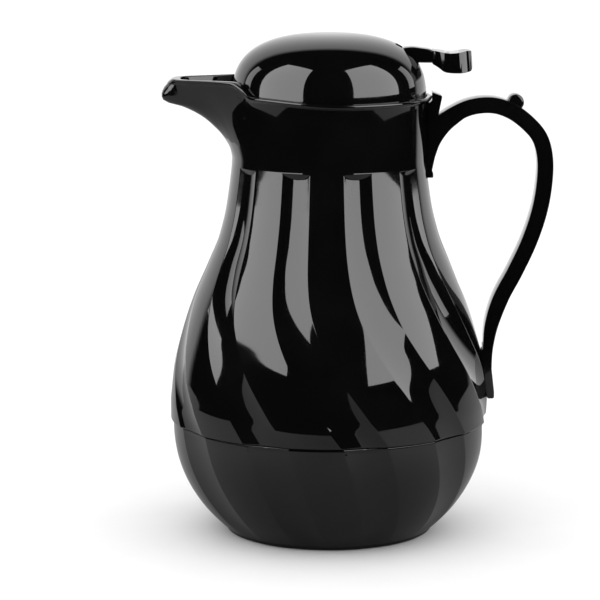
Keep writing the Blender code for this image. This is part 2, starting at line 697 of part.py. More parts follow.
def dome_profile(inset, samples):
    """(radius, z) from the apex down the dome to the rim's height."""
    profile = []
    for i in range(samples + 1):
        radius = (DOME_RADIUS - inset) * sin(pi / 2 * i / samples)
        profile.append((radius, dome_height(radius, DOME_RISE - inset, DOME_RADIUS - inset)))
    return profile


def around(radius, angle):
    """A place on a circle, at an angle in degrees from +X."""
    return Vector((radius * cos(radians(angle)), radius * sin(radians(angle)), 0))


def make_lid_dome(parent, paint):
    low = RIM_HEIGHT - LEDGE_DEPTH + GAP
    outside = dome_profile(0, 9)
    inside = dome_profile(DOME_WALL, 7)
    profile = outside + [(DOME_RADIUS, low), (DOME_RADIUS - DOME_WALL, low)] + list(reversed(inside))
    dome = turned("lid_dome", profile, paint, 36, parent)
    boss_low = CAGE_HEIGHT + CAGE_THICKNESS + GAP
    for i, angle in enumerate(LID_SCREW_ANGLES):
        place = around(LID_SCREW_CIRCLE, angle)
        top = dome_height(LID_SCREW_CIRCLE + BOSS_RADIUS) - DOME_WALL * 0.8
        boss = rod(f"dome_boss_{i}", BOSS_RADIUS, boss_low, top, steps=16, at=place, cutter=True)
        bore = rod(f"dome_boss_bore_{i}", LID_SCREW_RADIUS + GAP / 2, boss_low - 5 * MM,
                   boss_low + LID_SCREW_DEPTH + 1 * MM, steps=12, at=place, cutter=True)
        boolean(dome, boss, "UNION")
        boolean(dome, bore, "DIFFERENCE")
    half = LEVER_WIDTH / 2 + SLOT_SIDE
    slot = block("dome_slot", (DOME_RADIUS - SLOT_DEPTH, -half, RIM_HEIGHT + SLOT_RISE),
                 (DOME_RADIUS + 5 * MM, half, CROWN + 5 * MM))
    boolean(dome, slot, "DIFFERENCE")
    return dome


def make_lid_base(parent, paint):
    """The stopper: a skirted plate with port and guide, posts, a cage ring and two lugs for the pin."""
    gasket_top = GROOVE_LOW + GASKET_HEIGHT + 2 * GAP
    inside = GROOVE_RADIUS - SKIRT_WALL
    profile = [(PORT_RADIUS, STOPPER_TOP), (SKIRT_RADIUS, STOPPER_TOP), (SKIRT_RADIUS, gasket_top),
               (GROOVE_RADIUS, gasket_top), (GROOVE_RADIUS, GROOVE_LOW), (SKIRT_RADIUS, GROOVE_LOW),
               (SKIRT_RADIUS, SKIRT_LOW), (inside, SKIRT_LOW), (inside, STOPPER_LOW),
               (PORT_RADIUS, STOPPER_LOW)]
    base = turned("lid_base", profile, paint, LARGE_STEPS, parent)
    guide_bore = STEM_RADIUS + STEM_PLAY
    guide = turned("stem_guide", [(guide_bore, GUIDE_TOP), (guide_bore + GUIDE_WALL, GUIDE_TOP),
                                  (guide_bore + GUIDE_WALL, STOPPER_LOW), (guide_bore, STOPPER_LOW)],
                   None, 16, cutter=True)
    for i in range(3):
        arm = block(f"guide_arm_{i}", (guide_bore + GUIDE_WALL / 2, -ARM_WIDTH / 2, STOPPER_LOW + GAP),
                    (PORT_RADIUS + 2 * MM, ARM_WIDTH / 2, STOPPER_TOP + 3 * MM))
        arm.rotation_euler = (0, 0, radians(60 + 120 * i))
        boolean(base, arm, "UNION")
    boolean(base, guide, "UNION")
    cage_top = CAGE_HEIGHT + CAGE_THICKNESS
    cage = turned("cage_ring", [(CAGE_BORE, cage_top), (CAGE_RADIUS, cage_top), (CAGE_RADIUS, CAGE_HEIGHT),
                                (CAGE_BORE, CAGE_HEIGHT)], None, LARGE_STEPS, cutter=True)
    post_low, post_high = STOPPER_TOP - STOPPER_THICKNESS / 2, CAGE_HEIGHT + CAGE_THICKNESS / 2
    for i, angle in enumerate(POST_ANGLES):
        post = rod(f"post_{i}", POST_RADIUS, post_low, post_high, steps=12, cutter=True,
                   at=around(SKIRT_RADIUS - POST_RADIUS - 0.3 * MM, angle))
        boolean(base, post, "UNION")
    boolean(base, cage, "UNION")
    for side in (-1, 1):
        inner = side * (LEVER_WIDTH / 2 + GAP)
        outer = side * (LEVER_WIDTH / 2 + GAP + LUG_THICKNESS)
        name = "left" if side > 0 else "right"
        lug = block(f"lug_{name}", (PIVOT.x - LUG_REACH, min(inner, outer), CAGE_HEIGHT + 1 * MM),
                    (PIVOT.x + LUG_REACH, max(inner, outer), PIVOT.z + LUG_CROWN))
        boolean(base, lug, "UNION")
    pin_hole = rod("lug_bore", PIN_RADIUS + PIN_PLAY, -20 * MM, 20 * MM, cutter=True, at=PIVOT)
    pin_hole.rotation_euler = (pi / 2, 0, 0)
    boolean(base, pin_hole, "DIFFERENCE")
    for i, angle in enumerate(LID_SCREW_ANGLES):
        hole = rod(f"cage_hole_{i}", LID_SCREW_RADIUS + GAP, CAGE_HEIGHT - 5 * MM, cage_top + 5 * MM,
                   steps=12, at=around(LID_SCREW_CIRCLE, angle), cutter=True)
        boolean(base, hole, "DIFFERENCE")
    return base


def make_lid_gasket(paint):
    """A ring in the skirt's groove, just clear of the liner's bore."""
    low = GROOVE_LOW + GAP
    inner = GROOVE_RADIUS + GAP
    outer = LINER_NECK - GASKET_CLEARANCE
    high = low + GASKET_HEIGHT
    profile = [(inner, high), (outer - 0.5 * MM, high), (outer, high - 1.4 * MM), (outer, low + 1.4 * MM),
               (outer - 0.5 * MM, low), (inner, low)]
    return turned("lid_gasket", profile, paint)


def make_lid_screw(index, angle, parent, paint):
    """A short screw under the cage ring, up into the dome's boss."""
    tip = CAGE_HEIGHT + CAGE_THICKNESS + GAP + LID_SCREW_DEPTH
    head = CAGE_HEIGHT - GAP
    low = head - LID_SCREW_HEAD
    profile = [(0, tip), (LID_SCREW_RADIUS, tip), (LID_SCREW_RADIUS, head), (LID_SCREW_HEAD_RADIUS, head),
               (LID_SCREW_HEAD_RADIUS, low), (0, low)]
    return turned(f"lid_screw_{index}", profile, paint, 12, parent, at=around(LID_SCREW_CIRCLE, angle))


def lever_side(front, back):
    """Side view of the lever as (x, z): points from the pin, then points from the dome's edge and crown."""
    crown = Vector((DOME_RADIUS, CROWN))
    pin = Vector((PIVOT.x, PIVOT.z))
    return [tuple(pin + point) for point in front] + [tuple(crown + point) for point in back]


ARM_FRONT = millimetres((6, -4), (-2, -3.8), (-4.5, -1.5), (-4.5, 1.5), (-2.5, 4), (4, 5), (44, 7))
ARM_BACK = millimetres((-19.4, -11.1), (-13.4, -8.1), (-8.4, -7.7), (6.1, -11.7), (10.6, -12.1),
                       (10.6, -18.9), (4.6, -17.3), (-7.4, -16.9), (-37.4, -19))
PAD_SIDE = millimetres((5.1, -11.5), (13.6, -12.1), (19.6, -10.8), (23.1, -9.9), (26, -10.1),
                       (27, -11.5), (26.8, -20.5), (25.8, -22.3), (20.6, -23.9), (16.6, -23.4),
                       (12.6, -20.8), (8.1, -17.9))


def make_lever(parent, paint):
    """The arm under the dome, the pad behind it and the nib that meets the stem's button."""
    arm = outline("lever", lever_side(ARM_FRONT, ARM_BACK), LEVER_WIDTH, 1 * MM)
    lever = add_object("lever", arm, paint, parent=parent)
    side = lever_side([], PAD_SIDE)
    end = max(x for x, z in side)
    pad = outline("lever_pad", side, LEVER_PAD_WIDTH, 1.2 * MM)
    pad_object = add_object("lever_pad", pad, collection=CUTTERS)
    hide(pad_object)
    round_end = rod("lever_pad_plan", LEVER_PAD_ROUND, RIM_HEIGHT, CROWN, steps=40, cutter=True,
                    at=(end - LEVER_PAD_ROUND, 0, 0))
    boolean(pad_object, round_end, "INTERSECT")
    boolean(lever, pad_object, "UNION")
    nib_middle = BUTTON_TOP + GAP + NIB_RADIUS
    half = NIB_WIDTH / 2
    post = block("nib_post", (-NIB_RADIUS, -half, nib_middle), (NIB_RADIUS, half, PIVOT.z + 2 * MM))
    nib = rod("nib", NIB_RADIUS, -half, half, steps=12, cutter=True, at=(0, 0, nib_middle))
    nib.rotation_euler = (pi / 2, 0, 0)
    boolean(lever, post, "UNION")
    boolean(lever, nib, "UNION")
    bore = rod("lever_bore", PIN_RADIUS + PIN_PLAY, -20 * MM, 20 * MM, cutter=True, at=PIVOT)
    bore.rotation_euler = (pi / 2, 0, 0)
    boolean(lever, bore, "DIFFERENCE")
    return lever


def make_lever_pin(parent, paint):
    half = LEVER_WIDTH / 2 + GAP + LUG_THICKNESS
    pin = rod("lever_pin", PIN_RADIUS, -half, half, paint, parent=parent, at=PIVOT)
    pin.rotation_euler = (pi / 2, 0, 0)
    return pin


def make_valve(parent, lid, plastic, rubber, steel):
    seal_top = STOPPER_LOW - GAP
    seal_low = seal_top - SEAL_THICKNESS
    plug_top = seal_low - GAP
    plug_low = plug_top - VALVE_THICKNESS
    clip_top = plug_low - GAP
    clip_low = clip_top - CLIP_THICKNESS
    foot = clip_low - STEM_FOOT
    button_low = BUTTON_TOP - BUTTON_THICKNESS
    tip = BUTTON_TOP - BUTTON_CROWN
    notch = STEM_RADIUS - STEM_NOTCH
    stem = [(0, tip), (STEM_RADIUS, tip), (STEM_RADIUS, clip_top + GAP / 2), (notch, clip_top + GAP / 2),
            (notch, clip_low - GAP), (STEM_RADIUS, clip_low - GAP), (STEM_RADIUS, foot), (0, foot)]
    turned("valve_stem", stem, plastic, 16, parent)
    bore = STEM_RADIUS + GAP
    button = [(0, BUTTON_TOP), (BUTTON_RADIUS - 1 * MM, BUTTON_TOP), (BUTTON_RADIUS, BUTTON_TOP - 1 * MM),
              (BUTTON_RADIUS, button_low), (bore, button_low), (bore, tip + GAP), (0, tip + GAP)]
    turned("stem_button", button, plastic, SMALL_STEPS, parent)
    ring("valve_seal", bore, PORT_RADIUS + SEAL_LAP, seal_low, seal_top, rubber, 24, parent)
    reach = PORT_RADIUS + VALVE_LAP
    plug = [(bore, plug_top), (reach, plug_top), (reach, plug_top - 0.4 * VALVE_THICKNESS),
            (reach - 4 * MM, plug_low), (bore, plug_low)]
    turned("valve_plug", plug, plastic, 24, parent)
    ring("stem_clip", notch + GAP / 2, STEM_RADIUS + CLIP_WIDTH, clip_low, clip_top, steel, 16, parent)
    make_spring(lid, GUIDE_TOP + GAP, button_low - GAP, steel)


def make_spring(parent, low, high, paint):
    """A coil round the stem, its end turns lying flat."""
    middle = STEM_RADIUS + STEM_PLAY + GUIDE_WALL / 2 + 0.3 * MM
    end_turn = 0.6
    steps = 10
    points = []
    for i in range(SPRING_TURNS * steps + 1):
        turn = i / steps
        share = min(1, max(0, (turn - end_turn) / (SPRING_TURNS - 2 * end_turn)))
        height = low + SPRING_WIRE + share * (high - low - 2 * SPRING_WIRE)
        points.append((middle * cos(2 * pi * turn), middle * sin(2 * pi * turn), height))
    curve = bpy.data.curves.new("valve_spring", "CURVE")
    curve.dimensions = "3D"
    curve.bevel_depth = SPRING_WIRE
    curve.bevel_resolution = 1
    curve.use_fill_caps = True
    spline = curve.splines.new("POLY")
    spline.points.add(len(points) - 1)
    for made, point in zip(spline.points, points):
        made.co = (*point, 1)
    return add_object("valve_spring", curve, paint, parent=parent)


# ---------------------------------------------------------------- assembly

def main():
    gloss_black = ((0.008, 0.008, 0.009), 0.12)
    food_plastic = ((0.55, 0.54, 0.5), 0.45)
    foam = ((0.75, 0.68, 0.45), 0.9)
    rubber = ((0.03, 0.03, 0.03), 0.8)
    silicone = ((0.75, 0.75, 0.72), 0.6)
    steel = ((0.6, 0.6, 0.6), 0.3, 1.0)

    lid = bpy.data.objects.new("lid_axis", None)
    valve = bpy.data.objects.new("valve_axis", None)
    pivot = bpy.data.objects.new("lever_axis", None)
    pivot.location = PIVOT
    for empty in (lid, valve, pivot):
        PARTS.objects.link(empty)

    make_outer_shell(gloss_black)
    make_base_cup(gloss_black)
    make_inner_liner(food_plastic)
    make_foam_jacket(foam)
    make_neck_seal(rubber)
    make_foot_pad(rubber)
    make_fill_plug(food_plastic)
    make_handle(gloss_black)
    make_handle_screw("handle_screw_upper", UPPER_SCREW_HEIGHT, steel)
    make_handle_screw("handle_screw_lower", LOWER_SCREW_HEIGHT, steel)
    make_lid_dome(lid, gloss_black)
    make_lid_base(lid, food_plastic)
    make_lid_gasket(silicone)
    for i, angle in enumerate(LID_SCREW_ANGLES):
        make_lid_screw(i + 1, angle, lid, steel)
    make_lever(pivot, gloss_black)
    make_lever_pin(lid, steel)
    make_valve(valve, lid, food_plastic, silicone, steel)


main()
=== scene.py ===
from math import cos, pi, radians, sin

import bmesh
import bpy
import numpy as np
from mathutils import Matrix, Vector


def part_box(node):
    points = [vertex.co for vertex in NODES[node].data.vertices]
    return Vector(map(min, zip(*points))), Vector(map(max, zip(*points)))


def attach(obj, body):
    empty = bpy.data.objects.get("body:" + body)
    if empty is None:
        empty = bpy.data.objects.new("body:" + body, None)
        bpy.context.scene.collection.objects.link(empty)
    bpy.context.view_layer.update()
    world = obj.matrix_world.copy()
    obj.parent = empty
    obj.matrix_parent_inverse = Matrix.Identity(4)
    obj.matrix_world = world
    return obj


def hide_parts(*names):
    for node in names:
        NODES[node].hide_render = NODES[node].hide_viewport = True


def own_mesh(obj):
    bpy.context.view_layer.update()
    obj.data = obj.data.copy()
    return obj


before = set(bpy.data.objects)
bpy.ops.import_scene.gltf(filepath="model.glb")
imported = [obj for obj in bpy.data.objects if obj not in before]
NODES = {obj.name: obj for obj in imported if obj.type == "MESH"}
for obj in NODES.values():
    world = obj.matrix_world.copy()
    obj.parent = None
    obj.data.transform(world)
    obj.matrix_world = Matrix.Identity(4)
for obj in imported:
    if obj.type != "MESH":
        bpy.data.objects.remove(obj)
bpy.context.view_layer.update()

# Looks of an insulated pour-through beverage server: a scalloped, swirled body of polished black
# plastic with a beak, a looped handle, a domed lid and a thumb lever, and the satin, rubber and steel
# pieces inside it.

MM = 0.001
GAP = 0.35 * MM              # between pieces that fit into each other

# Body
FOOT_RADIUS = 60 * MM
BELLY_RADIUS = 94.3 * MM
BELLY_HEIGHT = 80 * MM
SEAM_HEIGHT = 68 * MM
SEAM_STEP = 1.6 * MM
SEAM_GAP = 0.35 * MM
NECK_RADIUS = 58 * MM
RIM_HEIGHT = 262 * MM
SHOULDER_HEIGHT = RIM_HEIGHT - 52 * MM
SHELL_WALL = 2.4 * MM
BASE_WALL = 2.6 * MM
LEDGE_DEPTH = 3.2 * MM       # of the lid's seat, under the rim
LIP_HEIGHT = 6 * MM          # of the cup's lip, which stands up inside the shell
LIP_WALL = 2 * MM
SHELL_EDGE = 0.5 * MM        # rounding of the shell's lower edge
CUP_BORE_RELIEF = 0.9 * MM
FOOT_EDGE = 4 * MM           # width of the cup's rim round the pad
FOOT_EDGE_LOW = 0.4 * MM     # height of that rim, because the pad stands proud of it
CUP_FLOOR = (2.75 * MM, 5.35 * MM)
FILL_HOLE_RADIUS = 8 * MM
BEAD = 1.1 * MM              # how far the rim's roll stands proud
BEAD_DEPTH = 3 * MM          # height of the roll
RIM_FLARE = 1.7 * MM
FLARE_DEPTH = 17 * MM

# Scallops
SCALLOPS = 10
PITCH = 360 / SCALLOPS
SCALLOP_MIDDLE = 16.0        # degrees, the first scallop's middle at the neck, from -Y towards +X
SCALLOP_HALF = 8.2           # degrees, from its middle to either crease
SCALLOP_DEPTH = 2.0 * MM
SCALLOP_TOP = 221.5 * MM     # peak of its arch
ARCH_HEIGHT = 3.0 * MM       # over which the arch brings it to its full depth
RIB_RISE = 0.8 * MM          # of the ribs over the mean surface, below the arches
CUP_DEPTH = 1.5 * MM         # of the same scallops on the cup
CUP_RISE = 0.8 * MM          # of the cup's ribs over its mean surface
SWIRL_START = BELLY_HEIGHT + 62 * MM
SWIRL_EASE = 14 * MM
SWIRL_RATE = 440             # degrees per metre, from SWIRL_START down to the seam
CUP_SWIRL_RATE = 190         # degrees per metre, below the seam

# Beak
BEAK_DIRECTION = -90         # degrees, from -Y towards +X
BEAK_REACH = 41.5 * MM
BEAK_ROOT = RIM_HEIGHT - 36 * MM
BEAK_RISE = 10 * MM          # of its lip over the rim
BEAK_WALL = 2.2 * MM

# Lid
DOME_RADIUS = NECK_RADIUS - 0.6 * MM
DOME_RISE = 36.5 * MM
DOME_POWER = 2.6
DOME_WALL = 2.2 * MM
CROWN = RIM_HEIGHT + DOME_RISE


# ---------------------------------------------------------------- nodes as expressions

class Value:
    """An output socket. Arithmetic on it adds Math nodes to its tree."""

    def __init__(self, tree, socket):
        self.tree, self.socket = tree, socket

    def maths(self, operation, *inputs):
        return self.tree.add("ShaderNodeMath", {"operation": operation}, dict(enumerate(inputs)))

    def __add__(self, other):
        return self.maths("ADD", self, other)

    def __sub__(self, other):
        return self.maths("SUBTRACT", self, other)

    def __rsub__(self, other):
        return self.maths("SUBTRACT", other, self)

    def __mul__(self, other):
        return self.maths("MULTIPLY", self, other)

    def __truediv__(self, other):
        return self.maths("DIVIDE", self, other)

    __radd__ = __add__
    __rmul__ = __mul__

    def least(self, other):
        return self.maths("MINIMUM", self, other)

    def most(self, other):
        return self.maths("MAXIMUM", self, other)

    def ramp(self, low, high):
        """0 below low, 1 above high, eased between them."""
        settings = {"interpolation_type": "SMOOTHSTEP"}
        return self.tree.add("ShaderNodeMapRange", settings, {0: self, 1: low, 2: high})


class Tree:
    """A node tree, of a material, the world or geometry nodes, filled by one method."""

    def __init__(self, nodes):
        self.nodes = nodes

    def add(self, kind, settings=None, sockets=None, output=0):
        """A new node: its settings, then the values or links of its sockets. Returns one output."""
        node = self.nodes.nodes.new(kind)
        for name, value in (settings or {}).items():
            if name == "stops":
                for stop, (place, colour) in zip(node.color_ramp.elements, value):
                    stop.position, stop.color = place, (*colour, 1)
            else:
                setattr(node, name, value)
        for key, value in (sockets or {}).items():
            if isinstance(value, Value):
                self.nodes.links.new(value.socket, node.inputs[key])
            else:
                node.inputs[key].default_value = value
        return Value(self, node.outputs[output] if node.outputs else None)


class Finish(Tree):
    """A procedural material on Object coordinates."""

    def __init__(self, name, **plain):
        self.material = bpy.data.materials.new(name)
        self.material.use_nodes = True
        super().__init__(self.material.node_tree)
        self.shader = self.nodes.nodes["Principled BSDF"]
        for key, value in plain.items():
            label = key.replace("_", " ").title().replace("Ior", "IOR")
            self.shader.inputs[label].default_value = value
        self.place = self.add("ShaderNodeTexCoord", output="Object")

    def feed(self, **sockets):
        for key, value in sockets.items():
            self.nodes.links.new(value.socket, self.shader.inputs[key.replace("_", " ").title()])

    def stretched(self, scale):
        return self.add("ShaderNodeMapping", None, {"Vector": self.place, "Scale": scale})

    def noise(self, size, detail=2, where=None, roughness=0.5):
        """Soft blotches about the given size across, from 0 to 1."""
        return self.add("ShaderNodeTexNoise", None, {"Vector": where or self.place, "Scale": 1 / size,
                                                     "Detail": detail, "Roughness": roughness})

    def cells(self, size):
        """Distance from the middle of cells about the given size across."""
        return self.add("ShaderNodeTexVoronoi", None, {"Vector": self.place, "Scale": 1 / size})

    def height(self):
        return self.add("ShaderNodeSeparateXYZ", None, {"Vector": self.place}, output="Z")

    def tint(self, amount, first, second):
        """A colour between two, by an amount from 0 to 1."""
        return self.add("ShaderNodeValToRGB", {"stops": ((0, first), (1, second))}, {"Fac": amount})

    def relief(self, *layers):
        """Bumps on the surface: pairs of a height from 0 to 1 and its real depth."""
        normal = None
        for shape, depth in layers:
            sockets = {"Height": shape, "Distance": depth, "Strength": 1}
            if normal:
                sockets["Normal"] = normal
            normal = self.add("ShaderNodeBump", None, sockets)
        self.feed(normal=normal)


# ---------------------------------------------------------------- finishes

def scratches(finish, size, direction):
    """Thin, broken hairlines along one axis, about the given size long, from 0 to 1."""
    streak = finish.noise(1, 2, finish.stretched([1 / (size * (1 if axis == direction else 0.02))
                                                  for axis in range(3)]), 0.6)
    return streak.ramp(0.66, 0.72) * finish.noise(9 * MM).ramp(0.5, 0.62)


def polished_black(name, clean=None, worn=None):
    """Polished moulded black plastic: a faint flow waviness, hairlines, dust, and scuffs.

    The scuffs come in from the clean height to the worn one.
    """
    finish = Finish(name, ior=1.5)
    waves = finish.noise(22 * MM, 1)
    wiped = finish.noise(35 * MM, 3).ramp(0.4, 0.75)
    hairs = scratches(finish, 14 * MM, 2).most(scratches(finish, 17 * MM, 0))
    dust = finish.cells(1.6 * MM).ramp(0.055, 0.02) * finish.noise(12 * MM).ramp(0.5, 0.7)
    rough = 0.03 + wiped * 0.035 + hairs * 0.1 + dust * 0.25
    colour = dust * 0.5 + wiped * 0.25
    if worn is not None:
        scuffs = finish.height().ramp(clean, worn) * finish.noise(2.2 * MM, 4).ramp(0.5, 0.75)
        rough = rough + scuffs * 0.18
        colour = colour + scuffs * 0.4
    finish.feed(roughness=rough)
    finish.feed(base_color=finish.tint(colour, (0.0018, 0.0018, 0.0019), (0.005, 0.005, 0.0052)))
    finish.relief((waves, 0.035 * MM), (finish.noise(3.5 * MM, 2), 0.0015 * MM), (hairs, -0.002 * MM))
    return finish.material


def satin_plastic(name, light, dark):
    """Fine-textured, food-grade plastic with faint flow marks and a little staining in its blotches."""
    finish = Finish(name, ior=1.47)
    grain = finish.noise(0.35 * MM, 3)
    flow = finish.noise(1, 3, finish.stretched((60, 60, 220)))
    stain = finish.noise(16 * MM, 4).ramp(0.45, 0.8)
    finish.feed(base_color=finish.tint(stain * 0.7 + flow * 0.3, light, dark))
    finish.feed(roughness=0.36 + grain * 0.12 + stain * 0.08)
    finish.relief((flow, 0.03 * MM), (grain, 0.012 * MM))
    return finish.material


def rigid_foam(name):
    """Poured foam: open pores in a skin that has yellowed in patches."""
    finish = Finish(name, ior=1.4)
    pores = finish.cells(1.1 * MM)
    fine = finish.noise(0.5 * MM, 3)
    skin = finish.noise(14 * MM, 4)
    finish.feed(base_color=finish.tint(skin * 0.6 + pores * 0.5,
                                       (0.78, 0.7, 0.46), (0.52, 0.4, 0.2)))
    finish.feed(roughness=0.78 + fine * 0.2)
    finish.relief((pores, 0.35 * MM), (fine, 0.08 * MM))
    return finish.material


def soft_rubber(name, light, dark, grip=0.3 * MM):
    """Matt rubber with a fine spark-eroded grain and pale handling marks."""
    finish = Finish(name, ior=1.5)
    grain = finish.noise(grip, 4)
    marks = finish.noise(9 * MM, 4).ramp(0.5, 0.75)
    finish.feed(base_color=finish.tint(marks * 0.7 + grain * 0.3, dark, light))
    finish.feed(roughness=0.55 + grain * 0.25 - marks * 0.1)
    finish.relief((grain, 0.05 * MM), (finish.noise(4 * MM, 2), 0.05 * MM))
    return finish.material


def bright_steel(name, closeness=(400, 400, 6000)):
    """Stainless steel with fine turning lines, by how many lie to the metre along X, Y and Z."""
    finish = Finish(name, metallic=1.0)
    lines = finish.noise(1, 4, finish.stretched(closeness), 0.7)
    tarnish = finish.noise(3 * MM, 3).ramp(0.4, 0.8)
    finish.feed(base_color=finish.tint(tarnish * 0.6 + lines * 0.3,
                                       (0.66, 0.65, 0.62), (0.42, 0.4, 0.37)))
    finish.feed(roughness=0.2 + lines * 0.18 + tarnish * 0.1)
    finish.relief((lines, 0.01 * MM))
    return finish.material


# ---------------------------------------------------------------- curves and surfaces

def interpolate(pairs, x):
    """Values at x of a smooth curve that passes through the pairs without overshooting."""
    px, py = np.array(pairs, float).T
    slopes = np.diff(py) / np.diff(px)
    tangents = np.concatenate([slopes[:1], np.zeros(len(px) - 2), slopes[-1:]])
    same = slopes[:-1] * slopes[1:] > 0
    both = np.where(same, slopes[:-1] + slopes[1:], 1)
    tangents[1:-1] = np.where(same, 2 * slopes[:-1] * slopes[1:] / both, 0)
    x = np.clip(x, px[0], px[-1])
    i = np.clip(np.searchsorted(px, x, side="right") - 1, 0, len(px) - 2)
    width = px[i + 1] - px[i]
    t = (x - px[i]) / width
    return (py[i] * (1 + 2 * t) * (1 - t) ** 2 + py[i + 1] * t * t * (3 - 2 * t)
            + width * t * (1 - t) * (tangents[i] * (1 - t) - tangents[i + 1] * t))


def smoothstep(low, high, x):
    t = np.clip((x - low) / (high - low), 0, 1)
    return t * t * (3 - 2 * t)


def smooth_path(points, steps):
    """Points on a Catmull-Rom curve through the given ones."""
    padded = [2 * points[0] - points[1]] + points + [2 * points[-1] - points[-2]]
    path = []
    for a, b, c, d in zip(padded, padded[1:], padded[2:], padded[3:]):
        for i in range(steps):
            t = i / steps
            path.append(0.5 * (2 * b + (c - a) * t + (2 * a - 5 * b + 4 * c - d) * t * t
                               + (3 * b - a - 3 * c + d) * t ** 3))
    return path + [points[-1]]


# Shares of the way from the belly up to the shoulder, and from the neck's radius out to the belly's
SHOULDER = ((0, 1), (0.165, 0.932), (0.32, 0.793), (0.469, 0.624), (0.62, 0.398), (0.768, 0.188),
            (0.915, 0.065), (1.1, 0))
BASE_POWER = 2.35

# The beak's reach by degrees from its ridge, and by height on its keel and on its flanks, in shares
BEAK_PLAN = ((0, 1), (2.4, 0.99), (4, 0.96), (5.5, 0.9), (8.5, 0.73), (13.6, 0.44), (21.8, 0.18),
             (32, 0))
BEAK_KEEL = ((0, 0), (0.11, 0.012), (0.22, 0.063), (0.33, 0.125), (0.42, 0.19), (0.52, 0.28),
             (0.62, 0.38), (0.72, 0.52), (0.82, 0.71), (0.91, 0.97), (1, 1), (1.11, 0.97), (1.31, 0.81))
BEAK_CHEEK = ((0, 0), (0.2, 0.05), (0.4, 0.15), (0.6, 0.3), (0.8, 0.5), (1, 0.72), (1.31, 1.06))


def shell_radius(z):
    share = (z - BELLY_HEIGHT) / (SHOULDER_HEIGHT - BELLY_HEIGHT)
    return NECK_RADIUS + (BELLY_RADIUS - NECK_RADIUS) * interpolate(SHOULDER, share)


def base_radius(z):
    top = BELLY_RADIUS - SEAM_STEP
    return FOOT_RADIUS + (top - FOOT_RADIUS) * (1 - np.clip(1 - z / SEAM_HEIGHT, 0, 1) ** BASE_POWER)


def swirl(z):
    """Turn of the scallops at a height, in degrees, against the neck."""
    at = np.maximum(z, SEAM_HEIGHT)
    turn = SWIRL_RATE * SWIRL_EASE * np.log1p(np.exp((SWIRL_START - at) / SWIRL_EASE))
    return turn + CUP_SWIRL_RATE * np.maximum(0, SEAM_HEIGHT - z)


def off_beak(angle):
    """Angle from the beak's ridge, in degrees, always positive."""
    return np.abs((angle - BEAK_DIRECTION + 180) % 360 - 180)


def beak(angle, z):
    """How far the beak stands out of the neck."""
    height = (z - BEAK_ROOT) / (RIM_HEIGHT - BEAK_ROOT)
    away = off_beak(angle)
    narrowing = 0.62 + 0.38 * smoothstep(0, 0.9, height)
    cheek = smoothstep(1.5, 11, away)
    rise = (1 - cheek) * interpolate(BEAK_KEEL, height) + cheek * interpolate(BEAK_CHEEK, height)
    return BEAK_REACH * rise * interpolate(BEAK_PLAN, away * narrowing)


def rim_height(angle):
    """The rim rises gently from the handle's side and then in an S up to the beak's lip."""
    away = off_beak(angle)
    gentle = 0.25 * smoothstep(100, 45, away)
    return RIM_HEIGHT + BEAK_RISE * (gentle + (1 - gentle) * smoothstep(41, 24, away))


def shell_bore(z):
    """Radius of the shell's inside, away from the beak."""
    relief = RIB_RISE * (1 - smoothstep(SCALLOP_TOP - 14 * MM, SCALLOP_TOP, z))
    return shell_radius(z) - relief - SHELL_WALL


def outer_reach(angle, z):
    """Radius of the shell's outside before the scallops are pressed in."""
    below = rim_height(angle) - z
    roll = BEAD * np.sqrt(np.clip(1 - (2 * below / BEAD_DEPTH - 1) ** 2, 0, 1))
    flare = RIM_FLARE * np.clip(1 - below / FLARE_DEPTH, 0, 1) ** 2
    rib = RIB_RISE * smoothstep(SCALLOP_TOP + 2 * MM, SCALLOP_TOP - 26 * MM, z)
    reach = beak(angle, z)
    on_beak = smoothstep(0, 6 * MM, reach)
    return (shell_radius(z) + rib + np.maximum(reach, 0) + flare * (1 - on_beak)
            + roll * (1 - 0.45 * on_beak))


def inner_reach(angle, z, above_ledge):
    """Radius of the shell's inside with the beak's channel, and with the lid's seat above the ledge."""
    channel = np.minimum(beak(angle, z - 1.2 * BEAK_WALL), np.maximum(0, beak(angle, z) - BEAK_WALL))
    bore = np.maximum(shell_bore(z), NECK_RADIUS if above_ledge else 0)
    return np.maximum(bore, NECK_RADIUS - SHELL_WALL + channel)


def scallop_columns(extra=()):
    """Angles round the neck, in degrees, closest together at the creases."""
    side = (0, 1.6, 3.2, 4.7, 6.1, 7.2, 7.9, SCALLOP_HALF, 8.6, 8.9, 9.6, 11, 13, 15.4)
    offsets = sorted({-x for x in side} | set(side) | {PITCH / 2})
    found = {round((SCALLOP_MIDDLE + PITCH * k + x) % 360, 3)
             for k in range(SCALLOPS) for x in offsets}
    return np.array(sorted(found | {round(x % 360, 3) for x in extra}))


def points_on(radius, angle, z):
    """Points about the axis, their angle in degrees from -Y towards +X."""
    a = np.radians(angle)
    return np.stack([radius * np.sin(a), -radius * np.cos(a), z + 0 * radius], axis=-1)


# ---------------------------------------------------------------- meshes

def add_piece(name, mesh):
    made = bpy.data.objects.new(name, mesh)
    bpy.context.scene.collection.objects.link(made)
    return made


def grid_mesh(name, rows, closed=True):
    """A mesh of closed rings, each joined to the next and, where it is closed, the last to the first."""
    count, around = len(rows), len(rows[0])
    points = np.concatenate(rows)
    index = np.arange(count * around).reshape(count, around)
    upper = index if closed else index[:-1]
    lower = np.roll(index, -1, axis=0) if closed else index[1:]
    faces = np.stack([upper, lower, np.roll(lower, -1, 1), np.roll(upper, -1, 1)], axis=-1)
    mesh = bpy.data.meshes.new(name)
    mesh.from_pydata(points.tolist(), [], faces.reshape(-1, 4).tolist())
    mesh.shade_smooth()
    return mesh


def smooth_by_angle(mesh, degrees):
    mesh.shade_smooth()
    mesh.set_sharp_from_angle(angle=radians(degrees))


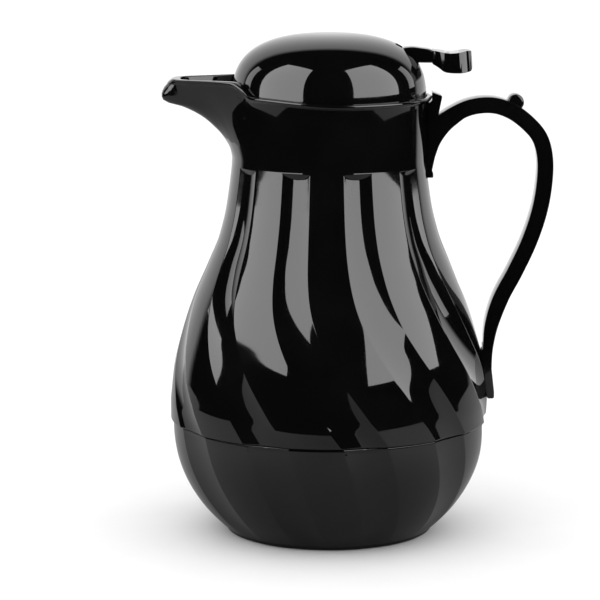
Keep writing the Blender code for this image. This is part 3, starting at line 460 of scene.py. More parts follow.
def store(mesh, name, values):
    """Puts one number on each point of the mesh."""
    attribute = mesh.attributes.new(name, "FLOAT", "POINT")
    attribute.data.foreach_set("value", np.asarray(values, np.float32).ravel())


def settle(obj, body, finish, node):
    """The finished piece rides on its body and stands for its CAD node."""
    obj.data.materials.clear()
    obj.data.materials.append(finish)
    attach(obj, body)
    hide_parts(node)
    return obj


def baked(obj):
    """The object's evaluated mesh, with no modifier left."""
    graph = bpy.context.evaluated_depsgraph_get()
    mesh = bpy.data.meshes.new_from_object(obj.evaluated_get(graph))
    obj.modifiers.clear()
    obj.data = mesh
    return obj


def cut(obj, other, operation="DIFFERENCE"):
    """Applies a Boolean and removes the other object."""
    modifier = obj.modifiers.new("cut", "BOOLEAN")
    modifier.operation, modifier.object, modifier.solver = operation, other, "EXACT"
    baked(obj)
    bpy.data.objects.remove(other)
    return obj


def turned(name, profile, steps, at=(0, 0, 0), axis="Z"):
    """A solid of revolution about Z or Y from a (radius, z) profile that starts and ends on the axis."""
    angles = np.arange(steps) * 360 / steps
    rows = [points_on(np.full(steps, r), -angles, z) for r, z in profile]
    mesh = grid_mesh(name, rows, closed=False)
    form = bmesh.new()
    form.from_mesh(mesh)
    bmesh.ops.remove_doubles(form, verts=form.verts, dist=1e-6)
    bmesh.ops.recalc_face_normals(form, faces=form.faces)
    turn = Matrix.Rotation(pi / 2, 4, "X") if axis == "Y" else Matrix.Identity(4)
    bmesh.ops.transform(form, matrix=Matrix.Translation(at) @ turn, verts=form.verts)
    form.to_mesh(mesh)
    form.free()
    smooth_by_angle(mesh, 30)
    return add_piece(name, mesh)


def rounded(profile, radius, closed=True, steps=4):
    """The profile with its corners turned into arcs, no longer than its short sides allow."""
    points = [Vector(p) for p in profile]
    result = []
    for i, corner in enumerate(points):
        ends = not closed and i in (0, len(points) - 1)
        before, after = points[i - 1] - corner, points[(i + 1) % len(points)] - corner
        if ends or before.length == 0 or after.length == 0 or before.angle(after) > radians(172):
            result.append(tuple(corner))
            continue
        reach = min(radius, 0.45 * before.length, 0.45 * after.length)
        start, end = corner + before.normalized() * reach, corner + after.normalized() * reach
        for k in range(steps + 1):
            t = k / steps
            result.append(tuple(start * (1 - t) ** 2 + 2 * t * (1 - t) * corner + end * t * t))
    return result


def rod(name, radius, high, low, steps, at=(0, 0, 0), axis="Z"):
    """A plain turned pin, boss or bore between two heights on its own axis."""
    return turned(name, [(0, high), (radius, high), (radius, low), (0, low)], steps, at, axis)


def block(low, high):
    """A helper box between two corners."""
    form = bmesh.new()
    bmesh.ops.create_cube(form, size=1)
    size = [b - a for a, b in zip(low, high)]
    middle = [(a + b) / 2 for a, b in zip(low, high)]
    bmesh.ops.transform(form, matrix=Matrix.Translation(middle) @ Matrix.Diagonal((*size, 1)),
                        verts=form.verts)
    mesh = bpy.data.meshes.new("block")
    form.to_mesh(mesh)
    form.free()
    return add_piece("block", mesh)


def outline(name, points, width, bevel, segments=5):
    """A plate in the XZ plane, its outline given, centred on y = 0, with rounded rims."""
    form = bmesh.new()
    face = form.faces.new([form.verts.new((x, -width / 2, z)) for x, z in points])
    made = bmesh.ops.extrude_face_region(form, geom=[face])
    moved = [v for v in made["geom"] if isinstance(v, bmesh.types.BMVert)]
    bmesh.ops.translate(form, vec=(0, width, 0), verts=moved)
    bmesh.ops.recalc_face_normals(form, faces=form.faces)
    rims = [edge for edge in form.edges if abs(edge.verts[0].co.y - edge.verts[1].co.y) < 1e-7]
    if bevel:
        bmesh.ops.bevel(form, geom=rims, offset=bevel, segments=segments, profile=0.5, affect="EDGES",
                        clamp_overlap=True)
    mesh = bpy.data.meshes.new(name)
    form.to_mesh(mesh)
    form.free()
    return add_piece(name, mesh)


def refined(name, node):
    """A merged, smooth-shaded copy of a CAD node's mesh."""
    mesh = NODES[node].data.copy()
    form = bmesh.new()
    form.from_mesh(mesh)
    bmesh.ops.remove_doubles(form, verts=form.verts, dist=1e-5)
    bmesh.ops.dissolve_limit(form, angle_limit=radians(1), verts=form.verts, edges=form.edges)
    form.to_mesh(mesh)
    form.free()
    smooth_by_angle(mesh, 35)
    return add_piece(name, mesh)


# ---------------------------------------------------------------- geometry nodes

def geometry_group(name, inputs):
    """A new group with the given inputs. Returns its tree, their values, and their identifiers."""
    group = bpy.data.node_groups.new(name, "GeometryNodeTree")
    group.interface.new_socket("Geometry", in_out="INPUT", socket_type="NodeSocketGeometry")
    identifiers = {}
    for label, (kind, value) in inputs.items():
        socket = group.interface.new_socket(label, in_out="INPUT", socket_type=f"NodeSocket{kind}")
        if value is not None:
            socket.default_value = value
        identifiers[label] = socket.identifier
    group.interface.new_socket("Geometry", in_out="OUTPUT", socket_type="NodeSocketGeometry")
    tree = Tree(group)
    entry = tree.add("NodeGroupInput").socket.node
    values = {socket.name: Value(tree, socket) for socket in entry.outputs if socket.name}
    return tree, values, identifiers


def close_group(tree, geometry, material):
    """Ends the tree in Realize Instances and Set Material."""
    solid = tree.add("GeometryNodeRealizeInstances", None, {"Geometry": geometry})
    painted = tree.add("GeometryNodeSetMaterial", None, {"Geometry": solid, "Material": material})
    tree.add("NodeGroupOutput", None, {"Geometry": painted})


def run_group(obj, tree, identifiers, settings):
    """Runs the group on the object with the inputs given by name, and keeps the plain result."""
    modifier = obj.modifiers.new("geometry", "NODES")
    modifier.node_group = tree.nodes
    for label, value in settings.items():
        modifier[identifiers[label]] = value
    return baked(obj)


def scallop_group():
    """Presses concave scallops with arched ends into a skin.

    The skin's points carry their angle from the nearest scallop's middle, and their share of the depth.
    """
    tree, given, identifiers = geometry_group("scallops", {
        "Half Angle": ("Float", SCALLOP_HALF), "Depth": ("Float", SCALLOP_DEPTH),
        "Arch Peak": ("Float", SCALLOP_TOP), "Arch Height": ("Float", ARCH_HEIGHT),
        "Material": ("Material", None)})
    angle = tree.add("GeometryNodeInputNamedAttribute", {"data_type": "FLOAT"}, {"Name": "scallop_angle"})
    share = tree.add("GeometryNodeInputNamedAttribute", {"data_type": "FLOAT"}, {"Name": "scallop_share"})
    position = tree.add("GeometryNodeInputPosition")
    across = angle / given["Half Angle"]
    hollow = (1 - across * across).most(0) * given["Depth"]
    height = tree.add("ShaderNodeSeparateXYZ", None, {"Vector": position}, output="Z")
    slope = given["Depth"] / given["Arch Height"]
    arch = ((given["Arch Peak"] - height) * slope).most(0)
    depth = hollow.least(arch) * share
    flat = tree.add("ShaderNodeVectorMath", {"operation": "MULTIPLY"}, {0: position, 1: (1, 1, 0)})
    inward = tree.add("ShaderNodeVectorMath", {"operation": "NORMALIZE"}, {0: flat})
    offset = tree.add("ShaderNodeVectorMath", {"operation": "SCALE"}, {0: inward, "Scale": depth * -1})
    moved = tree.add("GeometryNodeSetPosition", None, {"Geometry": given["Geometry"], "Offset": offset})
    close_group(tree, moved, given["Material"])
    return tree, identifiers


SPRING_WIRE = 0.5 * MM       # radius of its wire
SPRING_END_TURN = 0.8        # turn of wire that lies flat at either end
SPRING_END_PITCH = 0.12      # its climb in each turn, in wire radii
SPRING_POINTS = 260


def spring_group():
    """A closed-ended coil about +Z, with its wire's round section."""
    tree, given, identifiers = geometry_group("coil_spring", {
        "Turns": ("Float", 6.0), "Radius": ("Float", 4 * MM), "Wire": ("Float", SPRING_WIRE),
        "Low": ("Float", 0.0), "High": ("Float", 10 * MM), "Material": ("Material", None)})
    line = tree.add("GeometryNodeCurvePrimitiveLine", None, {"Start": (0, 0, 0), "End": (0, 0, 1)})
    fine = tree.add("GeometryNodeResampleCurve", None, {"Curve": line, "Count": SPRING_POINTS})
    along = tree.add("GeometryNodeSplineParameter", output="Factor")
    turn = along * given["Turns"]
    rise = ((turn - SPRING_END_TURN) / (given["Turns"] - 2 * SPRING_END_TURN)).most(0).least(1)
    low, high = given["Low"] + given["Wire"], given["High"] - given["Wire"]
    last = (turn - given["Turns"] + SPRING_END_TURN).most(0)
    closed = (turn.least(SPRING_END_TURN) + last) * given["Wire"] * SPRING_END_PITCH
    height = low + rise * (high - low - given["Wire"] * 0.2) + closed
    angle = turn * (2 * pi)
    place = tree.add("ShaderNodeCombineXYZ", None, {
        "X": angle.maths("COSINE", angle) * given["Radius"],
        "Y": angle.maths("SINE", angle) * given["Radius"], "Z": height})
    coil = tree.add("GeometryNodeSetPosition", None, {"Geometry": fine, "Position": place})
    section = tree.add("GeometryNodeCurvePrimitiveCircle", None, {"Resolution": 12,
                                                                  "Radius": given["Wire"]})
    wire = tree.add("GeometryNodeCurveToMesh", None, {"Curve": coil, "Profile Curve": section,
                                                      "Fill Caps": True})
    smooth = tree.add("GeometryNodeSetShadeSmooth", None, {"Geometry": wire})
    close_group(tree, smooth, given["Material"])
    return tree, identifiers


# ---------------------------------------------------------------- shell and cup

def swirl_offsets(columns):
    """Each column's angle from the middle of its nearest scallop, in degrees."""
    return np.abs((columns - SCALLOP_MIDDLE + PITCH / 2) % PITCH - PITCH / 2)


def swirled_skin(name, rows, columns, shares):
    """A closed ring loft whose points know their scallop; shares say how deep each row is pressed."""
    mesh = grid_mesh(name, rows)
    store(mesh, "scallop_angle", np.tile(swirl_offsets(columns), len(rows)))
    store(mesh, "scallop_share", np.repeat(shares, len(columns)))
    return add_piece(name, mesh)


def make_shell(finish, group):
    """One skin: over the rim, down the outside, round the lower edge, and up the inside to the rim."""
    columns = scallop_columns([BEAK_DIRECTION + s * x for s in (-1, 1)
                               for x in (*np.arange(0, 10, 0.7), *np.arange(10, 26, 1.3))])
    rim = rim_height(columns)
    ledge = RIM_HEIGHT - LEDGE_DEPTH
    low = SEAM_HEIGHT + SEAM_GAP
    top_inner = inner_reach(columns, rim, True)
    top_outer = outer_reach(columns, rim - 0.02 * MM)
    rows, shares = [], []

    def add_row(radius, z, share=0.0):
        rows.append(points_on(radius, columns + swirl(z), z))
        shares.append(share)

    for s in (0.75, 0.5, 0.25):
        add_row(top_outer + (top_inner - top_outer) * s, rim)
    for below in np.arange(0, BEAD_DEPTH + 0.3 * MM, 0.25 * MM):
        add_row(outer_reach(columns, rim - below), rim - below)
    start = rim - BEAD_DEPTH - 0.3 * MM
    for share in np.linspace(0, 1, 26)[1:]:
        z = start + (SCALLOP_TOP + 1 * MM - start) * share
        add_row(outer_reach(columns, z), z)
    arch = np.arange(0.7, -5.2, -0.3) * MM + SCALLOP_TOP
    body = np.linspace(SCALLOP_TOP - 6.4 * MM, low + 1.6 * MM, 66)
    edge = low + np.array((1.2, 0.8, 0.5, 0.28, 0.1)) * MM
    for z in (*arch, *body, *edge):
        rounding = SHELL_EDGE * (1 - np.sqrt(1 - np.clip(1 - (z - low) / SHELL_EDGE, 0, 1) ** 2))
        add_row(outer_reach(columns, z) - rounding, z + 0 * columns, 1.0)
    lip_bore = base_radius(SEAM_HEIGHT) - BASE_WALL + SEAM_GAP
    add_row(outer_reach(columns, low) - SHELL_EDGE, low + 0 * columns, 1.0)
    for radius, z in ((lip_bore, low), (lip_bore, low + LIP_HEIGHT + 3 * SEAM_GAP)):
        add_row(radius + 0 * columns, z + 0 * columns)
    for z in (*np.linspace(low + 12 * MM, BEAK_ROOT, 24), *np.linspace(BEAK_ROOT, ledge, 24)[1:]):
        add_row(inner_reach(columns, z, False), z + 0 * columns)
    for share in (0.01, 0.1, 0.25, 0.4, 0.55, 0.7, 0.85, 0.95, 1):
        z = ledge + share * (rim - ledge)
        add_row(inner_reach(columns, z, True), z)
    shell = swirled_skin("swirl_shell", rows, columns, shares)
    run_group(shell, *group, {"Material": finish})
    return settle(shell, "pot", finish, "outer_shell")


def make_cup(finish, group):
    """One skin: down the outside, under the foot, over the floor, and up the bore to the lip."""
    columns = scallop_columns()
    top = SEAM_HEIGHT
    rows, shares = [], []

    def add_row(radius, z, share=0.0):
        rows.append(points_on(radius + 0 * columns, columns + swirl(z), z))
        shares.append(share)

    lip = base_radius(top) - BASE_WALL
    for inward, drop in ((0.9, 0), (0.45, 0.06), (0.14, 0.3), (0, 0.8)):
        z = top - drop * MM
        add_row(base_radius(z) + CUP_RISE - inward * MM, z, 0.75)
    for z in np.linspace(top - 1.6 * MM, 3 * MM, 44):
        fade = smoothstep(1 * MM, 16 * MM, z)
        add_row(base_radius(z) + CUP_RISE * fade, z, 0.15 + 0.85 * fade)
    for inward, z in ((0, 2), (0.15, 1.2), (0.5, 0.7), (1.2, 0.4)):
        add_row(base_radius(2 * MM) - inward * MM, z * MM, 0.1)
    low, chamfer = FOOT_EDGE_LOW, 0.3 * MM
    pad = FOOT_RADIUS - FOOT_EDGE + GAP
    floor_low, floor_top = CUP_FLOOR
    plain = [(pad + chamfer, low), (pad, low + chamfer), (pad, floor_low), (FILL_HOLE_RADIUS, floor_low),
             (FILL_HOLE_RADIUS, floor_top), (FOOT_RADIUS - FOOT_EDGE, floor_top)]
    for share in (0.14, 0.2, 0.26, 0.35, 0.45, 0.57, 0.7, 0.85):
        z = share * top
        plain.append((base_radius(z) - BASE_WALL - CUP_BORE_RELIEF, z))
    plain += [(lip - LIP_WALL, top), (lip - LIP_WALL, top + LIP_HEIGHT), (lip, top + LIP_HEIGHT),
              (lip, top)]
    for radius, z in plain:
        add_row(radius, z)
    cup = swirled_skin("swirl_cup", rows, columns, shares)
    run_group(cup, *group, {"Depth": CUP_DEPTH, "Material": finish})
    smooth_by_angle(cup.data, 40)
    return settle(cup, "pot", finish, "base_cup")


# ---------------------------------------------------------------- handle

# The grip's middle line: its arch in mm from the neck and the rim, its fall in mm from the belly and
# in shares of the height from belly to rim, and the throat's curve, again from the neck and the rim
ARCH = ((6, -17.5), (15.5, -11), (26, -6.5), (38, -5.5), (49, -8.8), (59, -16))
FALL = ((30.1, 0.863), (33.3, 0.797), (33.1, 0.714), (30.3, 0.621), (24.5, 0.522), (16.3, 0.423),
        (8.3, 0.338), (3, 0.253), (0.9, 0.176), (0.6, 0.099))
THROAT = ((12.9, -20.4), (7.4, -28.2), (4.4, -36.5))
HANDLE_WIDTH = 15 * MM
HANDLE_THICKNESS = 9.4 * MM
HANDLE_TAPER = 2.2 * MM      # off each side, towards the foot
HANDLE_ROOT = 3.5 * MM       # onto its inner side, towards the neck
HANDLE_ROUND = 2.4 * MM
HANDLE_HUG = 0.25 * MM       # how deep the bracket and the foot sit in the shell
HANDLE_BED = 1.6 * MM        # and deeper where a scallop falls away behind the bracket
NUB = Vector((NECK_RADIUS + 52 * MM, RIM_HEIGHT - 4 * MM))
NUB_RADIUS = 4.9 * MM
UPPER_SCREW_HEIGHT = RIM_HEIGHT - 44 * MM
GATE_AT = NECK_RADIUS + 29 * MM
GATE_RADIUS = 0.55 * MM
GATE_DEPTH = 0.5 * MM


def offset_path(path, distance):
    """The path moved sideways; a positive distance moves it to its left."""
    moved = []
    for i, point in enumerate(path):
        along = (path[min(i + 1, len(path) - 1)] - path[max(i - 1, 0)]).normalized()
        moved.append(point + Vector((-along.y, along.x)) * float(distance(i / (len(path) - 1))))
    return moved


def make_handle(finish):
    """One outline of bracket, ear, grip and foot, with a thumb nub and a gate mark."""
    grip = [Vector((x * MM + NECK_RADIUS, z * MM + RIM_HEIGHT)) for x, z in ARCH]
    grip += [Vector((BELLY_RADIUS + out * MM, BELLY_HEIGHT + share * (RIM_HEIGHT - BELLY_HEIGHT)))
             for out, share in FALL]
    path = smooth_path(grip, 8)

    def half(share, root=0.0):
        return (HANDLE_THICKNESS / 2 + root * smoothstep(0.1, 0, share)
                - HANDLE_TAPER * smoothstep(0.8, 1, share))

    def hug(z):
        """Radius of the shell on the handle's side, less what the handle sinks into it."""
        return float(outer_reach(np.array([90.0]), np.array([z]))[0]) - HANDLE_HUG

    outer = offset_path(path, half)
    inner = offset_path(path, lambda share: -half(share, HANDLE_ROOT))
    face = NECK_RADIUS + RIM_FLARE + BEAD - HANDLE_HUG
    neck = hug(RIM_HEIGHT - 12 * MM)
    low_end = UPPER_SCREW_HEIGHT - 4.5 * MM
    outside = [p for p in outer if p.x > face + 4 * MM]
    back = [p for p in inner
            if p.x > max(NECK_RADIUS + 20 * MM, hug(max(p.y, BELLY_HEIGHT)) + 1 * MM)]
    bracket = [(hug(z) - HANDLE_BED * smoothstep(SCALLOP_TOP, SCALLOP_TOP - ARCH_HEIGHT, z), z)
               for z in np.linspace(low_end, RIM_HEIGHT - 9 * MM, 14)]
    ear = [(hug(RIM_HEIGHT - 5 * MM), RIM_HEIGHT - 5 * MM), (face, RIM_HEIGHT - 3 * MM),
           (face, RIM_HEIGHT + 2.2 * MM), (face + 6 * MM, RIM_HEIGHT),
           (face + 3.4 * MM, RIM_HEIGHT - 13 * MM)]
    heel = hug(BELLY_HEIGHT) + 4.2 * MM
    foot = [(heel, BELLY_HEIGHT + 4 * MM), (heel, BELLY_HEIGHT), (hug(BELLY_HEIGHT), BELLY_HEIGHT)]
    foot += [(hug(z), z) for z in BELLY_HEIGHT + np.linspace(4, 30, 8) * MM]
    thin = neck + 2.8 * MM
    lip = thin + 0.8 * MM
    root = [(thin, low_end + 4 * MM), (lip, low_end + 3 * MM), (lip, low_end)]
    start = [tuple(p) for p in outside]
    throat = [back[0]] + [Vector((NECK_RADIUS + x * MM, RIM_HEIGHT + z * MM)) for x, z in THROAT]
    tail = [tuple(p) for p in list(reversed(back))[:-1] + smooth_path(throat, 5)]
    corners = rounded(bracket + ear + start[:1], 0.8 * MM, closed=False, steps=3)
    heel_arc = rounded([start[-1]] + foot[:3] + foot[3:4], 1.2 * MM, closed=False, steps=3)
    root_arc = rounded([tail[-1]] + root + bracket[:1], 0.7 * MM, closed=False, steps=3)
    points = corners + start[1:-1] + heel_arc + foot[4:] + tail[:-1] + root_arc[:-1]
    handle = outline("looped_handle", points, HANDLE_WIDTH, HANDLE_ROUND)
    width = HANDLE_WIDTH - 1.6 * MM
    nub = turned("nub", rounded([(0, width / 2), (NUB_RADIUS, width / 2), (NUB_RADIUS, -width / 2),
                                 (0, -width / 2)], 1.6 * MM, closed=False), 40, (NUB.x, 0, NUB.y), "Y")
    cut(handle, nub, "UNION")
    skin = max(p.y for p in outside if abs(p.x - GATE_AT) < 3 * MM)
    cut(handle, rod("gate", GATE_RADIUS, 20 * MM, -GATE_DEPTH, 12, (GATE_AT, 0, skin)))
    smooth_by_angle(handle.data, 28)
    return settle(handle, "pot", finish, "handle")


# ---------------------------------------------------------------- lid

LEVER_WIDTH = 14 * MM
SLOT_SIDE = 1 * MM
SLOT_DEPTH = 18.4 * MM
SLOT_RISE = 5 * MM
CAGE_HEIGHT = RIM_HEIGHT - 5 * MM
CAGE_THICKNESS = 2.5 * MM
CAGE_RADIUS = NECK_RADIUS - SHELL_WALL - 1 * MM
LID_SCREW_CIRCLE = CAGE_RADIUS - 5.1 * MM
LID_SCREW_ANGLES = (90, 210, 330)
LID_SCREW_DEPTH = 7 * MM
LID_SCREW_BORE = 1.5 * MM
BOSS_RADIUS = 3.2 * MM
PIN_BORE = 1.68 * MM
PIVOT = Vector((13.4 * MM - DOME_RADIUS, 0, CROWN - 20.5 * MM))


def dome_height(radius, rise=DOME_RISE, reach=DOME_RADIUS):
    """Height of the dome's flattened curve over a radius."""
    return RIM_HEIGHT + rise * (1 - min(1, radius / reach) ** DOME_POWER) ** (1 / DOME_POWER)


def dome_arc(inset, samples):
    """(radius, z) from the apex down the dome to the rim's height."""
    reach, rise = DOME_RADIUS - inset, DOME_RISE - inset
    radii = [reach * sin(pi / 2 * i / samples) for i in range(samples + 1)]
    return [(radius, dome_height(radius, rise, reach)) for radius in radii]


def around(radius, angle):
    """A place on a circle about the axis, its angle from +X towards +Y."""
    return Vector((radius * cos(radians(angle)), radius * sin(radians(angle)), 0))


def make_dome(finish):
    """A turned dome with three screw bosses and a slot at the back for the lever."""
    low = RIM_HEIGHT - LEDGE_DEPTH + GAP
    chamfer = 0.3 * MM
    profile = dome_arc(0, 40)[:-1]
    profile += [(DOME_RADIUS, RIM_HEIGHT - 0.5 * MM), (DOME_RADIUS, low + chamfer),
                (DOME_RADIUS - chamfer, low), (DOME_RADIUS - DOME_WALL, low)]
    profile += list(reversed(dome_arc(DOME_WALL, 26)))
    dome = turned("domed_lid", profile, 144)
    boss_low = CAGE_HEIGHT + CAGE_THICKNESS + GAP
    for angle in LID_SCREW_ANGLES:
        top = dome_height(LID_SCREW_CIRCLE + BOSS_RADIUS) - DOME_WALL * 0.8
        place = around(LID_SCREW_CIRCLE, angle)
        cut(dome, rod("boss", BOSS_RADIUS, top, boss_low, 32, place), "UNION")
        deep = boss_low + LID_SCREW_DEPTH + 1 * MM
        cut(dome, rod("bore", LID_SCREW_BORE, deep, boss_low - 5 * MM, 24, place))
    half = LEVER_WIDTH / 2 + SLOT_SIDE
    slot = block((DOME_RADIUS - SLOT_DEPTH, -half, RIM_HEIGHT + SLOT_RISE),
                 (DOME_RADIUS + 5 * MM, half, CROWN + 5 * MM))
    cut(dome, slot)
    smooth_by_angle(dome.data, 32)
    return settle(dome, "lid", finish, "lid_dome")


# The lever's outline in mm: the arm's front from its pin, and all the rest from the point over the
# dome's edge at its crown's height
ARM_FRONT = ((6, -4), (-2, -3.8), (-4.5, -1.5), (-4.5, 1.5), (-2.5, 4), (4, 5), (44, 7))
ARM_BACK = ((-19.4, -11.1), (-13.4, -8.1), (-8.4, -7.7), (1.6, -9.1), (6.1, -10.9), (9.6, -12.6),
            (9.6, -16.4), (4.6, -17), (-7.4, -16.9), (-37.4, -19))
PAD_TOP = ((3.1, -9.6), (13.6, -11.2), (19.6, -10.6), (23.1, -9.9), (26, -10.1))
PAD_END = ((27, -11.5), (26.8, -20.5))
PAD_BOTTOM = ((25.8, -21.9), (20.6, -22.8), (14.6, -22.8), (10, -22), (6.6, -19.6), (3.1, -17.6))
PAD_WIDTH = 22 * MM
PAD_ROUND = 11.2 * MM        # of its rounded end, seen from above
PAD_EDGE = 1.2 * MM
PAD_DRAFT = 0.11             # outward, for each unit down its side
PAD_DRAFT_FROM = CROWN - 16 * MM
PAD_FLARE = ((2, 6.9), (4, 7.4), (7, 9), (10, 10.4), (13, 10.9))   # half width by distance out
ARM_EDGE = 1.6 * MM
BUTTON_TOP = CROWN - 30 * MM
NIB_RADIUS = 1.5 * MM
NIB_WIDTH = 6 * MM


def make_lever(finish):
    """An arm that pivots on its pin, a flared pad behind the dome, and a nib over the stem's button."""
    crown = Vector((DOME_RADIUS, CROWN))
    pin = Vector((PIVOT.x, PIVOT.z))

    def placed(corner, pairs):
        return [corner + Vector(pair) * MM for pair in pairs]

    arm_points = [tuple(p) for p in placed(pin, ARM_FRONT) + placed(crown, ARM_BACK)]
    lever = outline("thumb_lever", rounded(arm_points, ARM_EDGE), LEVER_WIDTH, 1 * MM, 4)
    top = smooth_path(placed(crown, PAD_TOP), 5)
    bottom = smooth_path(placed(crown, PAD_BOTTOM), 5)
    side = top + placed(crown, PAD_END) + bottom
    pad = outline("pad", rounded([tuple(p) for p in side], PAD_EDGE), PAD_WIDTH, PAD_EDGE, 4)
    end = max(p.x for p in side)
    half = [(crown.x + x * MM, y * MM) for x, y in PAD_FLARE]
    half += [(end - PAD_ROUND + PAD_ROUND * sin(a), PAD_ROUND * cos(a))
             for a in np.linspace(0.3, pi / 2, 14)]
    plan = outline("plan", half + [(x, -y) for x, y in reversed(half[:-1])], 60 * MM, 0)
    plan.data.transform(Matrix.Translation((0, 0, CROWN)) @ Matrix.Rotation(pi / 2, 4, "X"))
    for point in plan.data.vertices:
        if point.co.x < end - PAD_ROUND - 2 * MM:
            continue
        out = Vector((point.co.x - end + PAD_ROUND, point.co.y, 0)).normalized()
        point.co += out * (PAD_DRAFT_FROM - point.co.z) * PAD_DRAFT
    cut(pad, plan, "INTERSECT")
    cut(lever, pad, "UNION")
    middle = BUTTON_TOP + GAP + NIB_RADIUS
    beside = NIB_WIDTH / 2
    stalk = block((-NIB_RADIUS, -beside, middle), (NIB_RADIUS, beside, PIVOT.z + 2 * MM))
    cut(lever, stalk, "UNION")
    cut(lever, rod("nib", NIB_RADIUS, beside, -beside, 24, (0, 0, middle), "Y"), "UNION")
    cut(lever, rod("bore", PIN_BORE, 20 * MM, -20 * MM, 32, tuple(PIVOT), "Y"))
    smooth_by_angle(lever.data, 30)
    return settle(lever, "lever", finish, "lever")


# ---------------------------------------------------------------- the stage

# Lamps: azimuth, distance, width, low and high edge, radiance, and whether they show in the gloss
LAMPS = {
    "softbox_left": (-58.5, 0.46, 0.5, 0.234, 1.08, 5, True),
    "softbox_right": (57, 0.8, 0.92, 0.252, 1.7, 5, True),
    "rear_strip_left": (-113, 1.1, 0.22, 0.3, 0.95, 2.2, True),
    "rear_strip_right": (113, 1.1, 0.22, 0.3, 0.95, 2.2, True),
    "overhead": (-35, 1.1, 1.2, 0.9, 1.9, 0.9, False),
}
FLOOR_REACH = 6
FLOOR_NEAR = (0.95, -0.44, 0.6)      # half width, front and back of the part that shows in the gloss
CAMERA_PLACE = (-17.4 * MM, -1.706, 0.438)
CAMERA_PITCH = 9.95                  # degrees down
CAMERA_LENS = 173.46                 # mm, on a sensor 36 mm wide


def make_floor():
    """A pale floor; the copy of it mirrored in the polished body is painted darker, as painted shade, and
    lighter to either side, as painted lamp light.
    """
    finish = Finish("floor", roughness=0.9)
    grain = finish.noise(40 * MM, 3)
    seen = finish.tint(grain, (0.8, 0.8, 0.8), (0.84, 0.84, 0.84))
    # Painted shade: mirrored rays see a darker grey copy of the floor, made lighter towards the sides as
    # painted lamp light.
    mirrored = finish.add("ShaderNodeLightPath", output="Is Glossy Ray")
    across = finish.add("ShaderNodeSeparateXYZ", None, {"Vector": finish.place}, output="X")
    painted_light_to_sides = across.maths("ABSOLUTE", across).ramp(0, 0.3)
    painted_shade_mirrored = finish.tint(painted_light_to_sides, (0.26, 0.26, 0.26), (0.42, 0.42, 0.42))
    colour = finish.add("ShaderNodeMix", {"data_type": "RGBA"}, {0: mirrored, 6: seen, 7: painted_shade_mirrored}, output=2)
    finish.feed(base_color=colour)
    (wide, front, back), far = FLOOR_NEAR, FLOOR_REACH
    near = [(-wide, front), (wide, front), (wide, back), (-wide, back)]
    edge = [(-far, -far), (far, -far), (far, far), (-far, far)]
    around_near = [[edge[i], edge[(i + 1) % 4], near[(i + 1) % 4], near[i]] for i in range(4)]
    for name, pieces in (("floor", [near]), ("floor_surround", around_near)):
        mesh = bpy.data.meshes.new(name)
        mesh.from_pydata([(x, y, 0) for piece in pieces for x, y in piece], [],
                         [tuple(range(4 * i, 4 * i + 4)) for i in range(len(pieces))])
        mesh.materials.append(finish.material)
        floor = add_piece(name, mesh)
        floor.visible_glossy = name == "floor"


def make_world():
    """White to the eye; to reflections, dark in front and white low down behind."""
    world = bpy.data.worlds.new("studio")
    bpy.context.scene.world = world
    world.use_nodes = True
    world.node_tree.nodes.clear()
    tree = Tree(world.node_tree)
    direction = tree.add("ShaderNodeTexCoord", output="Generated")
    parts = tree.add("ShaderNodeSeparateXYZ", None, {"Vector": direction})
    node = parts.socket.node
    back, up = Value(tree, node.outputs["Y"]), Value(tree, node.outputs["Z"])
    glow = back.ramp(0.5, 0.64) * (1 - up.ramp(0.84, 0.93)) * 1.1 + 0.002
    mirrored = tree.add("ShaderNodeLightPath", output="Is Glossy Ray")
    strength = glow * mirrored + (1 - mirrored) * 1.4
    shader = tree.add("ShaderNodeBackground", None, {"Color": (1, 1, 1, 1), "Strength": strength})
    tree.add("ShaderNodeOutputWorld", None, {"Surface": shader})


def add_lamp(name, azimuth, distance, width, low, high, radiance, mirrored):
    """An upright lamp that faces the axis, only seen in the gloss, or only lighting the matt.

    Azimuth is from -Y towards +X.
    """
    lamp = bpy.data.lights.new(name, "AREA")
    lamp.shape = "RECTANGLE"
    lamp.size, lamp.size_y = width, high - low
    lamp.energy = radiance * pi * width * (high - low)
    made = bpy.data.objects.new(name, lamp)
    a = radians(azimuth)
    made.location = (distance * sin(a), -distance * cos(a), (low + high) / 2)
    made.rotation_euler = (pi / 2, 0, a)
    made.visible_camera = False
    made.visible_glossy = mirrored
    made.visible_diffuse = not mirrored
    bpy.context.scene.collection.objects.link(made)


def make_camera():
    """In front, a little above the lid and to the spout's side, looking slightly down."""
    camera = bpy.data.objects.new("camera", bpy.data.cameras.new("camera"))
    camera.data.sensor_width = 36
    camera.data.lens = CAMERA_LENS
    camera.location = CAMERA_PLACE
    camera.rotation_euler = (radians(90 - CAMERA_PITCH), 0, 0)
    bpy.context.scene.collection.objects.link(camera)
    bpy.context.scene.camera = camera


# ---------------------------------------------------------------- assembly

make_camera()
make_world()
make_floor()
for name, placing in LAMPS.items():
    add_lamp(name, *placing)
bpy.context.scene.view_settings.view_transform = "Standard"

scallops = scallop_group()
make_shell(polished_black("shell_plastic", 256 * MM, 263 * MM), scallops)
make_cup(polished_black("cup_plastic", 7 * MM, 0.0), scallops)
make_handle(polished_black("handle_plastic"))
make_dome(polished_black("dome_plastic"))
make_lever(polished_black("lever_plastic"))

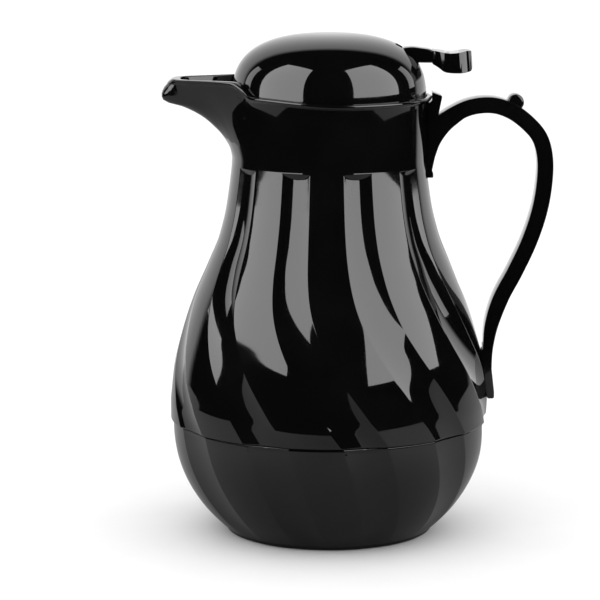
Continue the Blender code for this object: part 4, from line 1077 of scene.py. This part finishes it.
# The pieces inside the body, the pad and the fasteners keep their CAD meshes
CARRIED = {
    "inner_liner": satin_plastic("liner_plastic", (0.52, 0.51, 0.47), (0.44, 0.41, 0.34)),
    "fill_plug": satin_plastic("plug_plastic", (0.52, 0.51, 0.47), (0.42, 0.4, 0.35)),
    "foam_jacket": rigid_foam("jacket_foam"),
    "neck_seal": soft_rubber("seal_rubber", (0.045, 0.045, 0.045), (0.018, 0.018, 0.018)),
    "foot_pad": soft_rubber("pad_rubber", (0.055, 0.053, 0.05), (0.02, 0.02, 0.02), 0.6 * MM),
    "handle_screw_upper": bright_steel("upper_screw_steel", (6000, 400, 400)),
    "handle_screw_lower": bright_steel("lower_screw_steel", (6000, 400, 400)),
    "lever_pin": bright_steel("pin_steel", (400, 6000, 400)),
}
for i in range(1, len(LID_SCREW_ANGLES) + 1):
    CARRIED[f"lid_screw_{i}"] = bright_steel(f"lid_screw_steel_{i}")
for node, finish in CARRIED.items():
    NODES[node].data.materials.clear()
    NODES[node].data.materials.append(finish)

# The pieces of the lid and the valve are merged, smooth copies of their CAD meshes
SMOOTHED = {
    "lid_base": ("lid", "liner_plastic",
                 satin_plastic("stopper_plastic", (0.52, 0.51, 0.475), (0.42, 0.4, 0.345))),
    "lid_gasket": ("lid_seat", "silicone",
                   soft_rubber("gasket_silicone", (0.68, 0.67, 0.64), (0.52, 0.51, 0.47))),
    "valve_stem": ("valve", "liner_plastic",
                   satin_plastic("stem_plastic", (0.54, 0.53, 0.49), (0.46, 0.44, 0.39))),
    "stem_button": ("valve", "liner_plastic",
                    satin_plastic("button_plastic", (0.54, 0.53, 0.49), (0.44, 0.42, 0.37))),
    "valve_plug": ("valve", "liner_plastic",
                   satin_plastic("valve_plastic", (0.52, 0.5, 0.46), (0.41, 0.37, 0.31))),
    "valve_seal": ("valve", "silicone",
                   soft_rubber("washer_silicone", (0.68, 0.67, 0.64), (0.51, 0.49, 0.44))),
    "stem_clip": ("valve", "steel", bright_steel("clip_steel")),
}
for node, (body, slot, finish) in SMOOTHED.items():
    settle(refined(f"fine_{node}", node), body, finish, node)

# The spring is a coil sized to the CAD spring and baked at one length; the real one shortens as the valve
# opens
spring_low, spring_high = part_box("valve_spring")
spring_steel = bright_steel("spring_steel", (2500, 2500, 2500))
spring = add_piece("fine_valve_spring", bpy.data.meshes.new("fine_valve_spring"))
run_group(spring, *spring_group(), {
    "Radius": (spring_high.x - spring_low.x) / 2 - SPRING_WIRE, "Low": spring_low.z,
    "High": spring_high.z, "Material": spring_steel})
settle(spring, "lid", spring_steel, "valve_spring")
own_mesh(spring)
